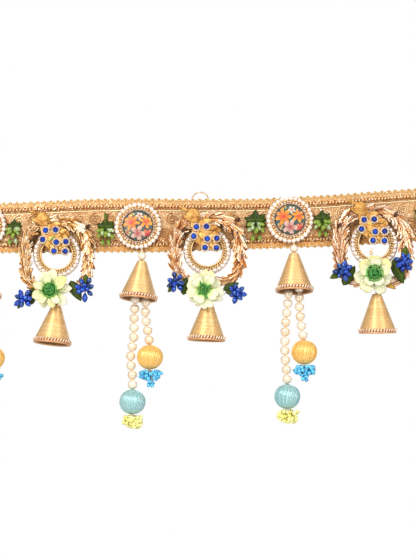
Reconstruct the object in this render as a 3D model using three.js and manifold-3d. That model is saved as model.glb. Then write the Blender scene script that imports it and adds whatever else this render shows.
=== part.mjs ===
// A toran, the trimming that hangs over a doorway. A gold braid band hangs on three wire rings. It carries
// four round medallions and three leafy gold wreaths in turn. Each medallion drops a thread-wound cone with
// two strings of pearls, wound balls and bead tassels. Each wreath holds a pearl-set ring, a bird charm with
// seven stones and a cloth flower between two sprays of buds, and a cone hangs below it.
// Millimetres, +Z up, the front faces -Y. The origin is on the band's top edge, halfway along it.
import * as THREE from "three";
import { mergeVertices } from "three/addons/utils/BufferGeometryUtils.js";
import Module from "manifold-3d";

const wasm = await Module();
wasm.setup();

// Driving sizes
const seatGap = 0.3; // air between pieces that rest on each other
const bandHeight = 46;
const bandThick = 2;
const scallopPitch = 6.6;
const scallopDeep = 1.5;
const ropeProud = 1.6; // the two twisted ropes stand this far off the band's face
const ropeInset = 7.2; // from each edge of the band to the rope's crest
const ropeFoot = 2.3; // from the crest to where the rope meets the flat face
const bowDeep = 1; // the band bows back this much between the pieces that it carries
const bowPitch = 65;
const carryY = -(ropeProud + seatGap); // back plane of what lies on the ropes

const rimRadius = 20.3; // medallion and open ring, over the rim of pearls
const rimThick = 4.3;
const domeRise = 1.5; // the medallion's picture stands this far in front of its rim
const bezelRadius = 13.2;
const holeRadius = 12.8;
const rimSides = 30;

const coneHeight = 34;
const coneRadius = 16.5; // over the trim at the mouth
const coneTop = 4.6;
const coneWall = 1.6;
const coneHole = 1.3; // for the thread at the tip
const coneSides = 14;

const pearlPitch = 8.05;
const pearlRadius = 4;
const hangerPearlRadius = 3.4;
const threadRadius = 0.7;
const neckRadius = 0.8;
const ballRadius = 11;
const ballSquat = 0.95;

const wreathDeep = 7;
const wreathInner = 21; // half the clear width inside a wreath
const wreathStations = 40;
const wreathTopBand = 13.2;
const wreathBottomBand = 9;
const squareTop = 2.5; // how square each half of a wreath is, with 2 for an ellipse
const squareFoot = 3.6;
const flowerStand = 2.9; // from the wreath's front to the back of a flower's petals
const leafTip = 0.9; // how far the leaves' tips stand in and out along the wreath's edge
const leafDip = 1.1; // how far the wreath's front sinks between two crests

const ringRadius = 7.8; // wire hanging ring, over the wire
const ringWire = 0.55;
const ringRise = -1.4; // its centre, from the band's edge

// The band's edges: x, rise of the top edge and of the bottom edge from straight
const bandEdges = [
  { x: -235, top: -4.5, bottom: -2.5 },
  { x: -187, top: -3.4, bottom: -2 },
  { x: -136, top: -1.3, bottom: -1.6 },
  { x: -102, top: 0.2, bottom: -1.3 },
  { x: -51, top: 0.3, bottom: -1.4 },
  { x: -17, top: 0, bottom: 0 },
  { x: 30, top: 0.3, bottom: 1.5 },
  { x: 89, top: 3.2, bottom: 3.3 },
  { x: 128, top: 6, bottom: 5.5 },
  { x: 167, top: 9, bottom: 8 },
  { x: 201, top: 10.8, bottom: 9.8 },
  { x: 235, top: 11.5, bottom: 10.5 },
];
const ringPlaces = { left: -223, middle: -17, right: 223 };

// Medallions: centre of the disc, tip of the cone below it, the cone's lean to the side and to the front in
// degrees, and which drop hangs from it
const medallions = [
  { x: -202.8, z: -24.8, tipX: -200.6, tipZ: -53, side: 1, front: 4, drop: "even" },
  { x: -70, z: -24.6, tipX: -66.4, tipZ: -54.6, side: 5, front: 3.5, drop: "swayed" },
  { x: 59.8, z: -19.3, tipX: 63, tipZ: -48, side: 0, front: 4.7, drop: "even" },
  { x: 202.8, z: -13.4, tipX: 204, tipZ: -42.4, side: 2, front: 4, drop: "swayed" },
];

// Strings of a drop: points of each string from the cone's tip, and the number of pearls on it
const drops = {
  swayed: {
    long: {
      pearls: 10,
      points: [
        { x: -2.2, z: -13 },
        { x: -4.9, z: -24.7 },
        { x: -5.6, z: -36 },
        { x: -6.4, z: -51 },
        { x: -6.6, z: -66.3 },
        { x: -9.1, z: -82.5 },
        { x: -7.4, z: -99 },
      ],
      ball: { x: -7.3, z: -119.9 },
    },
    short: {
      pearls: 6,
      points: [
        { x: 1.8, z: -13 },
        { x: 3.7, z: -27 },
        { x: 3.2, z: -45 },
        { x: 5.4, z: -61.2 },
      ],
      ball: { x: 7.2, z: -82.2 },
    },
  },
  even: {
    long: {
      pearls: 10,
      points: [
        { x: -2, z: -13 },
        { x: -4.4, z: -28 },
        { x: -5.6, z: -43 },
        { x: -7.5, z: -60 },
        { x: -8.4, z: -83.9 },
        { x: -6.9, z: -102 },
      ],
      ball: { x: -6.6, z: -122 },
    },
    short: {
      pearls: 6,
      points: [
        { x: 2, z: -13 },
        { x: 4.1, z: -28 },
        { x: 4.3, z: -46.6 },
        { x: 6.2, z: -66 },
      ],
      ball: { x: 8, z: -84.7 },
    },
  },
};

// Bead tassels, as rows down from the ball: depth below it, shift to the side, half width, half depth
const tassels = {
  pointed: [
    { z: -0.4, x: 0, wide: 4.4, deep: 4 },
    { z: -2.4, x: 0, wide: 9.6, deep: 5.6 },
    { z: -6.6, x: -0.4, wide: 8.4, deep: 5 },
    { z: -9.2, x: -0.2, wide: 3.9, deep: 3.6 },
    { z: -14, x: -0.2, wide: 3.5, deep: 3.2 },
    { z: -15.4, x: -0.2, wide: 1.6, deep: 1.6 },
  ],
  square: [
    { z: -0.4, x: 0, wide: 5, deep: 4.4 },
    { z: -2.6, x: -0.4, wide: 8.6, deep: 5.4 },
    { z: -7.4, x: 0, wide: 7.9, deep: 5.2 },
    { z: -10.6, x: 2, wide: 6.2, deep: 4.4 },
    { z: -12.4, x: 4, wide: 2.6, deep: 2.4 },
  ],
};

// Wreaths: centre, outer width and height; the ring's and the flower's centre, the flower's turn and how far
// above its centre it is stitched on; the tip of the cone below, and the cone's lean to the side and the front
const wreaths = [
  {
    x: -138.8, z: -49, width: 66, height: 68.2,
    ring: { x: -139.1, z: -49 },
    flower: { x: -143.1, z: -79.5, turn: 0, seat: 3 },
    cone: { x: -138.6, z: -92.3, side: 5.5, front: 3 },
  },
  {
    x: -10.6, z: -44.8, width: 68, height: 65.4,
    ring: { x: -11, z: -46.1 },
    flower: { x: -13.4, z: -79.3, turn: 24, seat: 6 },
    cone: { x: -10.2, z: -89.3, side: 2.5, front: -0.5 },
  },
  {
    x: 130.5, z: -41.7, width: 71, height: 73.2,
    ring: { x: 131.5, z: -40 },
    flower: { x: 130.1, z: -65.2, turn: -12, seat: -7.5 },
    cone: { x: 133, z: -82.7, side: -1, front: -5.5 },
  },
];

// Settings of a charm, from the centre of its ring
const stones = [
  { x: -9.1, z: 19.5 },
  { x: -0.5, z: 20 },
  { x: -11.4, z: 11.6 },
  { x: 0.2, z: 9.4 },
  { x: 8.3, z: 9.8 },
  { x: -1.7, z: 1.8 },
  { x: 7.9, z: 1.5 },
];
const stoneRadius = 3.7;
const charmPlate = 1.4;
const charmStone = 2.8;
// The bird's outline, from the centre of the ring: beak and crest at the left, back, tail, breast
const birdOutline = [
  { x: -24.5, z: 36.5 }, { x: -21, z: 34.2 }, { x: -12, z: 35.2 }, { x: -6.5, z: 30.5 },
  { x: -4, z: 24 }, { x: 6, z: 22 }, { x: 11.5, z: 17 }, { x: 9.5, z: 12 },
  { x: 9.5, z: 1 }, { x: 6, z: -0.5 }, { x: -2.5, z: 0 }, { x: -7.5, z: 5 },
  { x: -12.5, z: 9.5 }, { x: -13, z: 17 }, { x: -14.5, z: 25 }, { x: -17.5, z: 31 },
];

// Sprays of blue buds: centre, width and height; their leaf's shift from the centre, its length and its turn
// from level; the wreath that carries the spray, and the station of the wreath where its stem ends
const budSprays = [
  {
    name: "buds_1_left", x: -165.7, z: -88, wide: 12.5, high: 20,
    leaf: { x: 6.8, z: 2.5, long: 15, turn: 88 }, wreath: 0, station: 25,
  },
  {
    name: "buds_1_right", x: -113.9, z: -79.5, wide: 15.5, high: 24.5,
    leaf: { x: -8, z: -1.7, long: 20, turn: -62 }, wreath: 0, station: 35,
  },
  {
    name: "buds_2_left", x: -37.4, z: -74.4, wide: 14, high: 21,
    leaf: { x: 7.6, z: -2.5, long: 16, turn: 80 }, wreath: 1, station: 25,
  },
  {
    name: "buds_2_right", x: 14, z: -83.3, wide: 16.4, high: 14.5,
    leaf: { x: -4.7, z: 6, long: 15, turn: 24 }, wreath: 1, station: 33,
  },
  {
    name: "buds_3_left", x: 104.1, z: -64.6, wide: 17.4, high: 17.4,
    leaf: { x: 5.1, z: -3.4, long: 20, turn: 58 }, wreath: 2, station: 23,
  },
  {
    name: "buds_3_right", x: 155.6, z: -57, wide: 14.6, high: 18,
    leaf: { x: -4.7, z: -7.6, long: 23, turn: -68 }, wreath: 2, station: 37,
  },
];
// Sprays of leaf and green buds on the band: centre of the leaf and its size; the shift, width and height of
// the buds below it, and the length of the bare stem above it
const leafSprays = [
  { name: "leaf_1", x: -176.1, z: -25, size: 0.73, shift: -2.6, wide: 12.5, high: 19, stem: 0 },
  { name: "leaf_2", x: -98, z: -25.6, size: 0.92, shift: 0.6, wide: 17.5, high: 18, stem: 13 },
  { name: "leaf_3", x: 30.2, z: -20.4, size: 1.1, shift: 1.7, wide: 16.5, high: 20, stem: 0 },
  { name: "leaf_4", x: 87.5, z: -18.2, size: 0.85, shift: 0, wide: 17, high: 18, stem: 0 },
  { name: "leaf_5", x: 173.5, z: -13.4, size: 0.85, shift: 0.6, wide: 13, high: 19, stem: 0 },
];

const finishes = {
  band: { color: 0xd2a352, roughness: 0.6, metalness: 0.3 },
  cone: { color: 0xe0b356, roughness: 0.45, metalness: 0.5 },
  wreath: { color: 0xe0ae78, roughness: 0.4, metalness: 0.6 },
  metal: { color: 0xd9a441, roughness: 0.45, metalness: 0.6 },
  pearl: { color: 0xf6e6d3, roughness: 0.25, metalness: 0 },
  medallion: { color: 0xdba86b, roughness: 0.3, metalness: 0.2 },
  yellow: { color: 0xf2b94a, roughness: 0.4, metalness: 0 },
  teal: { color: 0x8ecac6, roughness: 0.4, metalness: 0 },
  blueBeads: { color: 0x28a5d8, roughness: 0.25, metalness: 0 },
  yellowBeads: { color: 0xf0ea58, roughness: 0.25, metalness: 0 },
  flower: { color: 0xe9efb4, roughness: 0.8, metalness: 0 },
  buds: { color: 0x1f49c4, roughness: 0.4, metalness: 0 },
  leaf: { color: 0x4f7a3a, roughness: 0.7, metalness: 0 },
};

const toran = new THREE.Group();

function place(name, geometry, finish, x = 0, y = 0, z = 0) {
  const mesh = new THREE.Mesh(geometry, new THREE.MeshStandardMaterial(finishes[finish]));
  mesh.name = name;
  mesh.position.set(x, y, z);
  toran.add(mesh);
  return mesh;
}

// A closed solid of a geometry, for joining
function solidOf(geometry) {
  const bare = geometry.index ? geometry.toNonIndexed() : geometry.clone();
  bare.deleteAttribute("normal");
  bare.deleteAttribute("uv");
  const merged = mergeVertices(bare, 1e-4);
  return new wasm.Manifold(
    new wasm.Mesh({
      numProp: 3,
      vertProperties: merged.attributes.position.array,
      triVerts: new Uint32Array(merged.index.array),
    }),
  );
}

function join(geometries) {
  const whole = geometries.map(solidOf).reduce((sum, next) => sum.add(next));
  const { vertProperties, triVerts } = whole.getMesh();
  return new THREE.BufferGeometry()
    .setAttribute("position", new THREE.BufferAttribute(vertProperties, 3))
    .setIndex(new THREE.BufferAttribute(triVerts, 1));
}

// Triangles over one flat ring of points
function capOf(ring) {
  const normal = new THREE.Vector3();
  ring.forEach((p, i) => normal.add(new THREE.Vector3().crossVectors(p, ring[(i + 1) % ring.length])));
  const size = [Math.abs(normal.x), Math.abs(normal.y), Math.abs(normal.z)];
  const drop = size.indexOf(Math.max(...size));
  const flat = ring.map((p) => new THREE.Vector2(...p.toArray().filter((_, axis) => axis !== drop)));
  const faces = THREE.ShapeUtils.triangulateShape(flat, []);
  const [a, b, c] = faces[0].map((i) => ring[i]);
  const facing = new THREE.Vector3().crossVectors(b.clone().sub(a), c.clone().sub(a)).dot(normal);
  return facing > 0 ? faces : faces.map(([i, j, k]) => [i, k, j]);
}

// A closed skin over rings of points, either capped at both ends or joined end to end
function skin(rings, loop = false) {
  const across = rings[0].length;
  const faces = [];
  const spans = loop ? rings.length : rings.length - 1;
  for (let i = 0; i < spans; i++) {
    const here = i * across;
    const next = ((i + 1) % rings.length) * across;
    for (let j = 0; j < across; j++) {
      const k = (j + 1) % across;
      faces.push([here + j, here + k, next + k], [here + j, next + k, next + j]);
    }
  }
  if (!loop) {
    const last = (rings.length - 1) * across;
    capOf(rings[0]).forEach(([i, j, k]) => faces.push([i, k, j]));
    capOf(rings[rings.length - 1]).forEach(([i, j, k]) => faces.push([last + i, last + j, last + k]));
  }
  const points = rings.flat();
  const volume = faces.reduce(
    (sum, [i, j, k]) => sum + points[i].dot(new THREE.Vector3().crossVectors(points[j], points[k])),
    0,
  );
  const outward = volume > 0 ? faces : faces.map(([i, j, k]) => [i, k, j]);
  return new THREE.BufferGeometry().setFromPoints(points).setIndex(outward.flat());
}

// A smooth value of a table's column at x
function along(table, x, column) {
  const last = table.length - 1;
  const at = Math.min(Math.max(table.findIndex((row) => row.x > x) - 1, 0), last - 1);
  const i = x >= table[last].x ? last - 1 : at;
  const slope = (k) => {
    const a = table[Math.max(k - 1, 0)];
    const b = table[Math.min(k + 1, last)];
    return (b[column] - a[column]) / (b.x - a.x);
  };
  const span = table[i + 1].x - table[i].x;
  const t = (x - table[i].x) / span;
  return (
    table[i][column] * (1 + 2 * t) * (1 - t) ** 2 +
    table[i + 1][column] * t * t * (3 - 2 * t) +
    span * (slope(i) * t * (1 - t) ** 2 + slope(i + 1) * t * t * (t - 1))
  );
}

const frontY = (x) => (bowDeep / 2) * (1 - Math.cos((2 * Math.PI * x) / bowPitch));

// The band: a scalloped braid with a raised rope inside each edge
function band() {
  const from = bandEdges[0].x;
  const to = bandEdges[bandEdges.length - 1].x;
  const steps = 2 * Math.round((to - from) / scallopPitch);
  const rings = [];
  for (let i = 0; i <= steps; i++) {
    const x = from + ((to - from) * i) / steps;
    const edge = i % 2 ? 0 : scallopDeep; // tips and dips in turn
    const top = along(bandEdges, x, "top");
    const bottom = along(bandEdges, x, "bottom") - bandHeight;
    const front = frontY(x);
    const back = front + bandThick;
    rings.push(
      [
        [front, top - edge],
        [front - ropeProud, top - ropeInset],
        [front, top - ropeInset - ropeFoot],
        [front, bottom + ropeInset + ropeFoot],
        [front - ropeProud, bottom + ropeInset],
        [front, bottom + edge],
        [back, bottom + edge],
        [back, top - edge],
      ].map(([y, z]) => new THREE.Vector3(x, y, z)),
    );
  }
  return skin(rings);
}

// Turned about the Y axis: rows of radius and depth
function turned(rows, sides) {
  return new THREE.LatheGeometry(
    rows.map(([r, y]) => new THREE.Vector2(r, y)),
    sides,
  );
}

function medallionDisc() {
  return turned(
    [
      [0, -rimThick - domeRise],
      [bezelRadius - 0.6, -rimThick],
      [rimRadius - 2.2, -rimThick],
      [rimRadius, -rimThick / 2],
      [rimRadius - 1.6, 0],
      [0, 0],
    ],
    rimSides,
  );
}

function openRing() {
  return turned(
    [
      [holeRadius, 0],
      [holeRadius, -rimThick * 0.8],
      [rimRadius - 2.4, -rimThick],
      [rimRadius, -rimThick / 2],
      [rimRadius - 1.6, 0],
      [holeRadius, 0],
    ],
    rimSides,
  );
}

// The cone's wall from the tip's hole down to the mouth and up the inside, with the tip at zero
function cone(hole) {
  const inner = coneRadius - coneWall - 0.3;
  const top = coneTop - coneWall;
  const outside = [
    [hole, 0],
    [coneTop - 0.7, -1],
    [coneRadius - 2, -coneHeight + 3.6],
    [coneRadius, -coneHeight + 2.2],
    [coneRadius - 0.3, -coneHeight],
    [inner, -coneHeight],
    [top, -4.6],
  ];
  const rows = hole > 0 ? [...outside, [hole, -2.4], [hole, 0]] : [...outside, [0, -3.4]];
  return turned(rows.reverse(), coneSides).rotateX(Math.PI / 2);
}

// The thread that a wreath's cone hangs by, from inside the cone's tip up to the wreath
function neck(rise) {
  const buried = 1;
  return new THREE.CylinderGeometry(neckRadius, neckRadius, rise + buried, 6)
    .rotateX(Math.PI / 2)
    .translate(0, 0, (rise - buried) / 2);
}

// A string: bare thread, then pearls up to its end. Rings of points round a curve, wider at each pearl
function string(points, pearls, sides = 5) {
  const curve = new THREE.CatmullRomCurve3(points);
  const length = curve.getLength();
  const bare = length - pearls * pearlPitch;
  const rows = [{ at: 0, r: threadRadius }];
  if (bare > 0) rows.push({ at: bare - 0.4, r: threadRadius });
  for (let i = 0; i < pearls; i++) {
    const start = bare + i * pearlPitch;
    rows.push({ at: start + 0.02 * pearlPitch, r: 0.3 * pearlRadius });
    rows.push({ at: start + 0.28 * pearlPitch, r: pearlRadius });
    rows.push({ at: start + 0.72 * pearlPitch, r: pearlRadius });
  }
  rows.push({ at: length, r: 0.3 * pearlRadius });
  return skin(
    rows.map(({ at, r }) => {
      const centre = curve.getPointAt(Math.min(at / length, 1));
      const tangent = curve.getTangentAt(Math.min(at / length, 1));
      const u = new THREE.Vector3(0, 1, 0).cross(tangent).normalize();
      const v = tangent.clone().cross(u);
      return Array.from({ length: sides }, (_, k) => {
        const turn = (2 * Math.PI * k) / sides;
        return centre
          .clone()
          .addScaledVector(u, r * Math.cos(turn))
          .addScaledVector(v, r * Math.sin(turn));
      });
    }),
  );
}

const ballTop = (ball) => ball.z + ballRadius * ballSquat + seatGap;

// The strung part of a medallion's drop: hanger pearl, thread through the cone's tip, and two strings
function strands(drop, rise) {
  const lean = 0.55; // how far each string's foot stands towards the front
  const knot = -4.4;
  const hanger = [
    [0, knot - 0.8], [threadRadius, knot - 0.5], [threadRadius, 0.4], [hangerPearlRadius, 2.2],
    [hangerPearlRadius, 5], [threadRadius, 6.8], [threadRadius, rise], [0, rise],
  ];
  const strings = Object.values(drop).map(({ pearls, points, ball }) =>
    string(
      [
        new THREE.Vector3(0, 0, knot),
        ...points.map(({ x, z }) => new THREE.Vector3(x, (z / coneHeight) * lean, z)),
        new THREE.Vector3(ball.x, (ball.z / coneHeight) * lean, ballTop(ball)),
      ],
      pearls,
    ),
  );
  const hung = turned(hanger, 7).rotateX(Math.PI / 2);
  const knotBead = new THREE.SphereGeometry(1.4, 5, 3).translate(0, 0, knot);
  return { geometry: join([hung, knotBead, ...strings]), footY: (ball) => (ball.z / coneHeight) * lean };
}

function ball() {
  return new THREE.SphereGeometry(ballRadius, 10, 6).rotateX(Math.PI / 2).scale(1, 1, ballSquat);
}

function tassel(rows) {
  const sides = 8;
  return skin(
    rows.map(({ z, x, wide, deep }, row) =>
      Array.from({ length: sides }, (_, k) => {
        const turn = (2 * Math.PI * (k + 0.5 * (row % 2))) / sides;
        const lump = k % 2 ? 1 : 0.88;
        return new THREE.Vector3(x + wide * lump * Math.cos(turn), deep * lump * Math.sin(turn), z);
      }),
    ),
  );
}

// A point on the middle of a wreath's band, at a turn from its centre
function wreathMiddle({ width, height }, turn) {
  const sideBand = width / 2 - wreathInner;
  const upper = Math.sin(turn) > 0;
  const power = (v) => Math.sign(v) * Math.abs(v) ** (2 / (upper ? squareTop : squareFoot));
  const bandAcross = upper ? wreathTopBand : wreathBottomBand;
  const side = (width / 2 - sideBand / 2) * power(Math.cos(turn));
  return new THREE.Vector3(side, 0, (height / 2 - bandAcross / 2) * power(Math.sin(turn)));
}

const stationTurn = (station) => (2 * Math.PI * (station + 0.5)) / wreathStations;

// A wreath: a closed leafy band, wide and flat. Every second station is a crest where leaves' tips stand out
function wreath(sizes) {
  const sideBand = sizes.width / 2 - wreathInner;
  const deep = wreathDeep / 2;
  const rings = [];
  for (let station = 0; station < wreathStations; station++) {
    const turn = stationTurn(station);
    const here = wreathMiddle(sizes, turn);
    const after = wreathMiddle(sizes, turn + 0.05);
    const heading = after.sub(wreathMiddle(sizes, turn - 0.05)).normalize();
    const out = new THREE.Vector3(heading.z, 0, -heading.x);
    const up = Math.sin(turn);
    const across = sideBand + ((up > 0 ? wreathTopBand : wreathBottomBand) - sideBand) * up * up;
    const half = across / 2;
    const crest = station % 2;
    const section = [
      [crest ? half : half - 2 * leafTip, 0],
      [half * 0.62, -deep * 0.86],
      [0, crest ? -deep : -deep + leafDip],
      [-half * 0.62, -deep * 0.86],
      [crest ? -half : -half + leafTip, 0],
      [-half * 0.6, deep],
      [half * 0.6, deep],
    ];
    rings.push(section.map(([side, y]) => here.clone().addScaledVector(out, side).setY(y)));
  }
  return skin(rings, true);
}

// The charm: a flat bird with a crest, and seven round settings on its body and tail
function charm() {
  const extrude = (shape, depth) =>
    new THREE.ExtrudeGeometry(shape, { depth, bevelEnabled: false }).rotateX(Math.PI / 2);
  const bird = new THREE.Shape(birdOutline.map(({ x, z }) => new THREE.Vector2(x, z)));
  const settings = stones.map(({ x, z }) =>
    new THREE.CylinderGeometry(stoneRadius, stoneRadius, charmStone, 8).translate(x, -charmStone / 2, z),
  );
  const beadAt = (x, z, r) =>
    new THREE.CylinderGeometry(r, r, charmPlate, 7).translate(x, -charmPlate / 2, z);
  return join([
    extrude(bird, charmPlate),
    beadAt(-12.2, 30.5, 5.6),
    beadAt(-23.5, 37.2, 1.7),
    beadAt(9.8, 17.6, 3),
    ...settings,
  ]);
}

// A thin pad that stands in the XZ plane: a closed outline, thickest in its middle
function pad(outline, thick, middle = 0.5) {
  const points = outline.map(([x, z]) => new THREE.Vector3(x, 0, z));
  const centre = points.reduce((sum, p) => sum.add(p), new THREE.Vector3()).divideScalar(points.length);
  const front = centre.clone().setY(-thick * middle);
  const back = centre.clone().setY(thick * (1 - middle));
  const faces = points.flatMap((_, i) => {
    const j = (i + 1) % points.length;
    return [points.length, i, j, points.length + 1, j, i];
  });
  const area = THREE.ShapeUtils.area(outline.map(([x, z]) => new THREE.Vector2(x, z)));
  return new THREE.BufferGeometry()
    .setFromPoints([...points, front, back])
    .setIndex(area > 0 ? faces : faces.reverse());
}

// A bud: a drop drawn out along +X from its foot at zero
function bud(long, wide, sides = 5) {
  const ring = Array.from({ length: sides }, (_, k) => {
    const turn = (2 * Math.PI * k) / sides;
    return new THREE.Vector3(0.62 * long, (wide / 2) * Math.cos(turn), (wide / 2) * Math.sin(turn));
  });
  const faces = ring.flatMap((_, k) => {
    const next = (k + 1) % sides;
    return [sides, next, k, sides + 1, k, next];
  });
  return new THREE.BufferGeometry()
    .setFromPoints([...ring, new THREE.Vector3(), new THREE.Vector3(long, 0, 0)])
    .setIndex(faces);
}

// A petal or bud turned out from a centre that faces the front: tilt lifts its tip to the front
function turnedOut(shape, turn, tilt, foot, y) {
  return shape
    .translate(foot, 0, 0)
    .rotateZ(-THREE.MathUtils.degToRad(tilt))
    .rotateY(-THREE.MathUtils.degToRad(turn))
    .translate(0, y, 0);
}

const petalOutline = (long, wide) => [
  [0, -0.16 * wide],
  [0.38 * long, -0.44 * wide],
  [0.72 * long, -0.5 * wide],
  [0.96 * long, -0.26 * wide],
  [0.96 * long, 0.26 * wide],
  [0.72 * long, 0.5 * wide],
  [0.38 * long, 0.44 * wide],
  [0, 0.16 * wide],
];

// A cloth flower of six outer and four inner petals round a bud, on a calyx that reaches the wreath behind it
function flower({ turn: turnBy, seat }) {
  const heart = new THREE.SphereGeometry(4.8, 7, 4).rotateX(Math.PI / 2).scale(1, 1.1, 1);
  const inFlower = 2.6; // how far the calyx stands into the petals
  const calyx = new THREE.CylinderGeometry(4.5, 4.5, flowerStand + inFlower, 6);
  const parts = [heart.translate(0, -5, 0), calyx.translate(0, (flowerStand - inFlower) / 2, seat)];
  for (let i = 0; i < 6; i++) {
    const outer = pad(petalOutline(16.2, 15), 2.6, 0.7);
    parts.push(turnedOut(outer, turnBy + 60 * i, i % 2 ? 7 : 14, 1.6, i % 2 ? -0.9 : -2.2));
  }
  for (let i = 0; i < 4; i++) {
    const inner = pad(petalOutline(11, 9.4), 2.2, 0.7);
    parts.push(turnedOut(inner, turnBy + 40 + 90 * i, 30, 2, -4));
  }
  return join(parts);
}

function leaf(long) {
  const wide = 0.5 * long;
  const outline = petalOutline(long, wide).map(([x, z]) => [x - long / 2, z]);
  return pad([...outline.slice(0, 4), [long * 0.56, 0], ...outline.slice(4)], 1.8);
}

const ivyOutline = [
  [0, 8.5], [2.6, 4.6], [7.2, 5], [5.6, 0.6], [8.2, -3.6], [3, -4.6],
  [0, -7], [-3, -4.6], [-8.2, -3.6], [-5.6, 0.6], [-7.2, 5], [-2.6, 4.6],
];

// How far an upright ellipse of this width and height reaches at a turn from level
const reach = (wide, high, turn) => {
  const angle = THREE.MathUtils.degToRad(turn);
  return 1 / Math.hypot(Math.cos(angle) / (wide / 2), Math.sin(angle) / (high / 2));
};

// Blue buds that stand out round a short stem, with one leaf behind them. Flat stalks run from the buds'
// middle to the leaf and to the seat on the wreath
function budSpray({ wide, high, leaf: blade, seat }) {
  const stalk = ({ x, z }) =>
    new THREE.BoxGeometry(Math.hypot(x, z), 1.2, 2)
      .translate(Math.hypot(x, z) / 2, -0.6, 0)
      .rotateY(-Math.atan2(z, x));
  const parts = [
    new THREE.SphereGeometry(2.6, 5, 3).translate(0, -2.7, 0),
    leaf(blade.long).rotateY(-THREE.MathUtils.degToRad(blade.turn)).translate(blade.x, -1, blade.z),
    stalk(blade),
    stalk(seat),
  ];
  for (let i = 0; i < 7; i++) {
    const angle = blade.turn + 25 + 51.4 * i;
    const tilt = i % 2 ? 32 : 8;
    parts.push(turnedOut(bud(reach(wide, high, angle) - 0.4, 5.2), angle, tilt, 0.4, -3));
  }
  return join(parts);
}

// Green buds that fan down over an ivy leaf, with the leaf's tip and the bare stem pointing up
function leafSpray({ size, shift, wide, high, stem }) {
  const scaled = ivyOutline.map(([x, z]) => [x * size, z * size]);
  const parts = [pad(scaled, 2, 0.6)];
  if (stem) parts.push(turnedOut(bud(stem, 3.2), 90, 0, 0, -0.9));
  const fan = [
    { angle: -30, tilt: 21 },
    { angle: -60, tilt: 13 },
    { angle: -90, tilt: 13 },
    { angle: -120, tilt: 13 },
    { angle: -150, tilt: 21 },
    { angle: -76, tilt: 28 },
  ];
  fan.forEach(({ angle, tilt }, i) => {
    const long = i < 5 ? reach(wide, 2 * high, angle) - 0.5 : 0.62 * high;
    const lifted = turnedOut(bud(long, i < 5 ? 4.6 : 4), angle, tilt, 0, -0.4);
    parts.push(lifted.translate(shift * 0.3, 0, -0.6));
  });
  return join(parts);
}

function addBand() {
  place("band", band(), "band");
  for (const [side, x] of Object.entries(ringPlaces)) {
    const ring = new THREE.TorusGeometry(ringRadius - ringWire, ringWire, 4, 13).rotateX(Math.PI / 2);
    const y = frontY(x) + bandThick + seatGap + ringWire + 0.4;
    place(`hanging_ring_${side}`, ring, "metal", x, y, along(bandEdges, x, "top") + ringRise);
  }
}

function addMedallions() {
  const coneY = carryY - 3.4;
  medallions.forEach(({ x, z, tipX, tipZ, side, front, drop }, i) => {
    const n = i + 1;
    place(`medallion_${n}`, medallionDisc(), "medallion", x, carryY, z);
    const rimBottom = z - Math.sqrt(rimRadius ** 2 - (tipX - x) ** 2);
    const strung = strands(drops[drop], rimBottom - tipZ - seatGap);
    place(`strands_${n}`, strung.geometry, "pearl", tipX, coneY, tipZ);
    place(`cone_m${n}`, cone(coneHole), "cone", tipX, coneY, tipZ)
      .rotation.set(-THREE.MathUtils.degToRad(front), THREE.MathUtils.degToRad(side), 0);
    const ends = [
      { length: "long", finish: "teal", beads: "yellowBeads", lumps: tassels.square },
      { length: "short", finish: "yellow", beads: "blueBeads", lumps: tassels.pointed },
    ];
    for (const { length, finish, beads, lumps } of ends) {
      const at = drops[drop][length].ball;
      const y = coneY + strung.footY(at);
      place(`ball_${finish}_${n}`, ball(), finish, tipX + at.x, y, tipZ + at.z);
      const foot = tipZ + at.z - ballRadius * ballSquat;
      place(`tassel_${finish}_${n}`, tassel(lumps), beads, tipX + at.x + 0.6, y, foot - seatGap);
    }
  });
}

function addWreaths() {
  const wreathFront = carryY - wreathDeep - seatGap;
  wreaths.forEach(({ ring, flower: bloom, cone: hung, ...sizes }, i) => {
    const n = i + 1;
    const middleY = carryY - wreathDeep / 2;
    place(`wreath_${n}`, wreath(sizes), "wreath", sizes.x, middleY, sizes.z);
    place(`open_ring_${n}`, openRing(), "medallion", ring.x, carryY, ring.z);
    place(`charm_${n}`, charm(), "metal", ring.x, wreathFront, ring.z);
    place(`flower_${n}`, flower(bloom), "flower", bloom.x, wreathFront - flowerStand, bloom.z);
    const rise = sizes.z - sizes.height / 2 + leafTip - seatGap - hung.z;
    place(`cone_w${n}`, join([cone(0), neck(rise)]), "cone", hung.x, middleY, hung.z)
      .rotation.set(-THREE.MathUtils.degToRad(hung.front), THREE.MathUtils.degToRad(hung.side), 0);
  });
  for (const spray of budSprays) {
    const carrier = wreaths[spray.wreath];
    const point = wreathMiddle(carrier, stationTurn(spray.station));
    const seat = { x: carrier.x + point.x - spray.x, z: carrier.z + point.z - spray.z };
    place(spray.name, budSpray({ ...spray, seat }), "buds", spray.x, wreathFront, spray.z);
  }
}

function addLeafSprays() {
  for (const spray of leafSprays) {
    place(spray.name, leafSpray(spray), "leaf", spray.x, frontY(spray.x) - seatGap - 0.8, spray.z);
  }
}

addBand();
addMedallions();
addWreaths();
addLeafSprays();

export default toran;
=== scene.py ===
from math import atan2, cos, degrees, hypot, pi, radians, sin, sqrt

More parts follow.
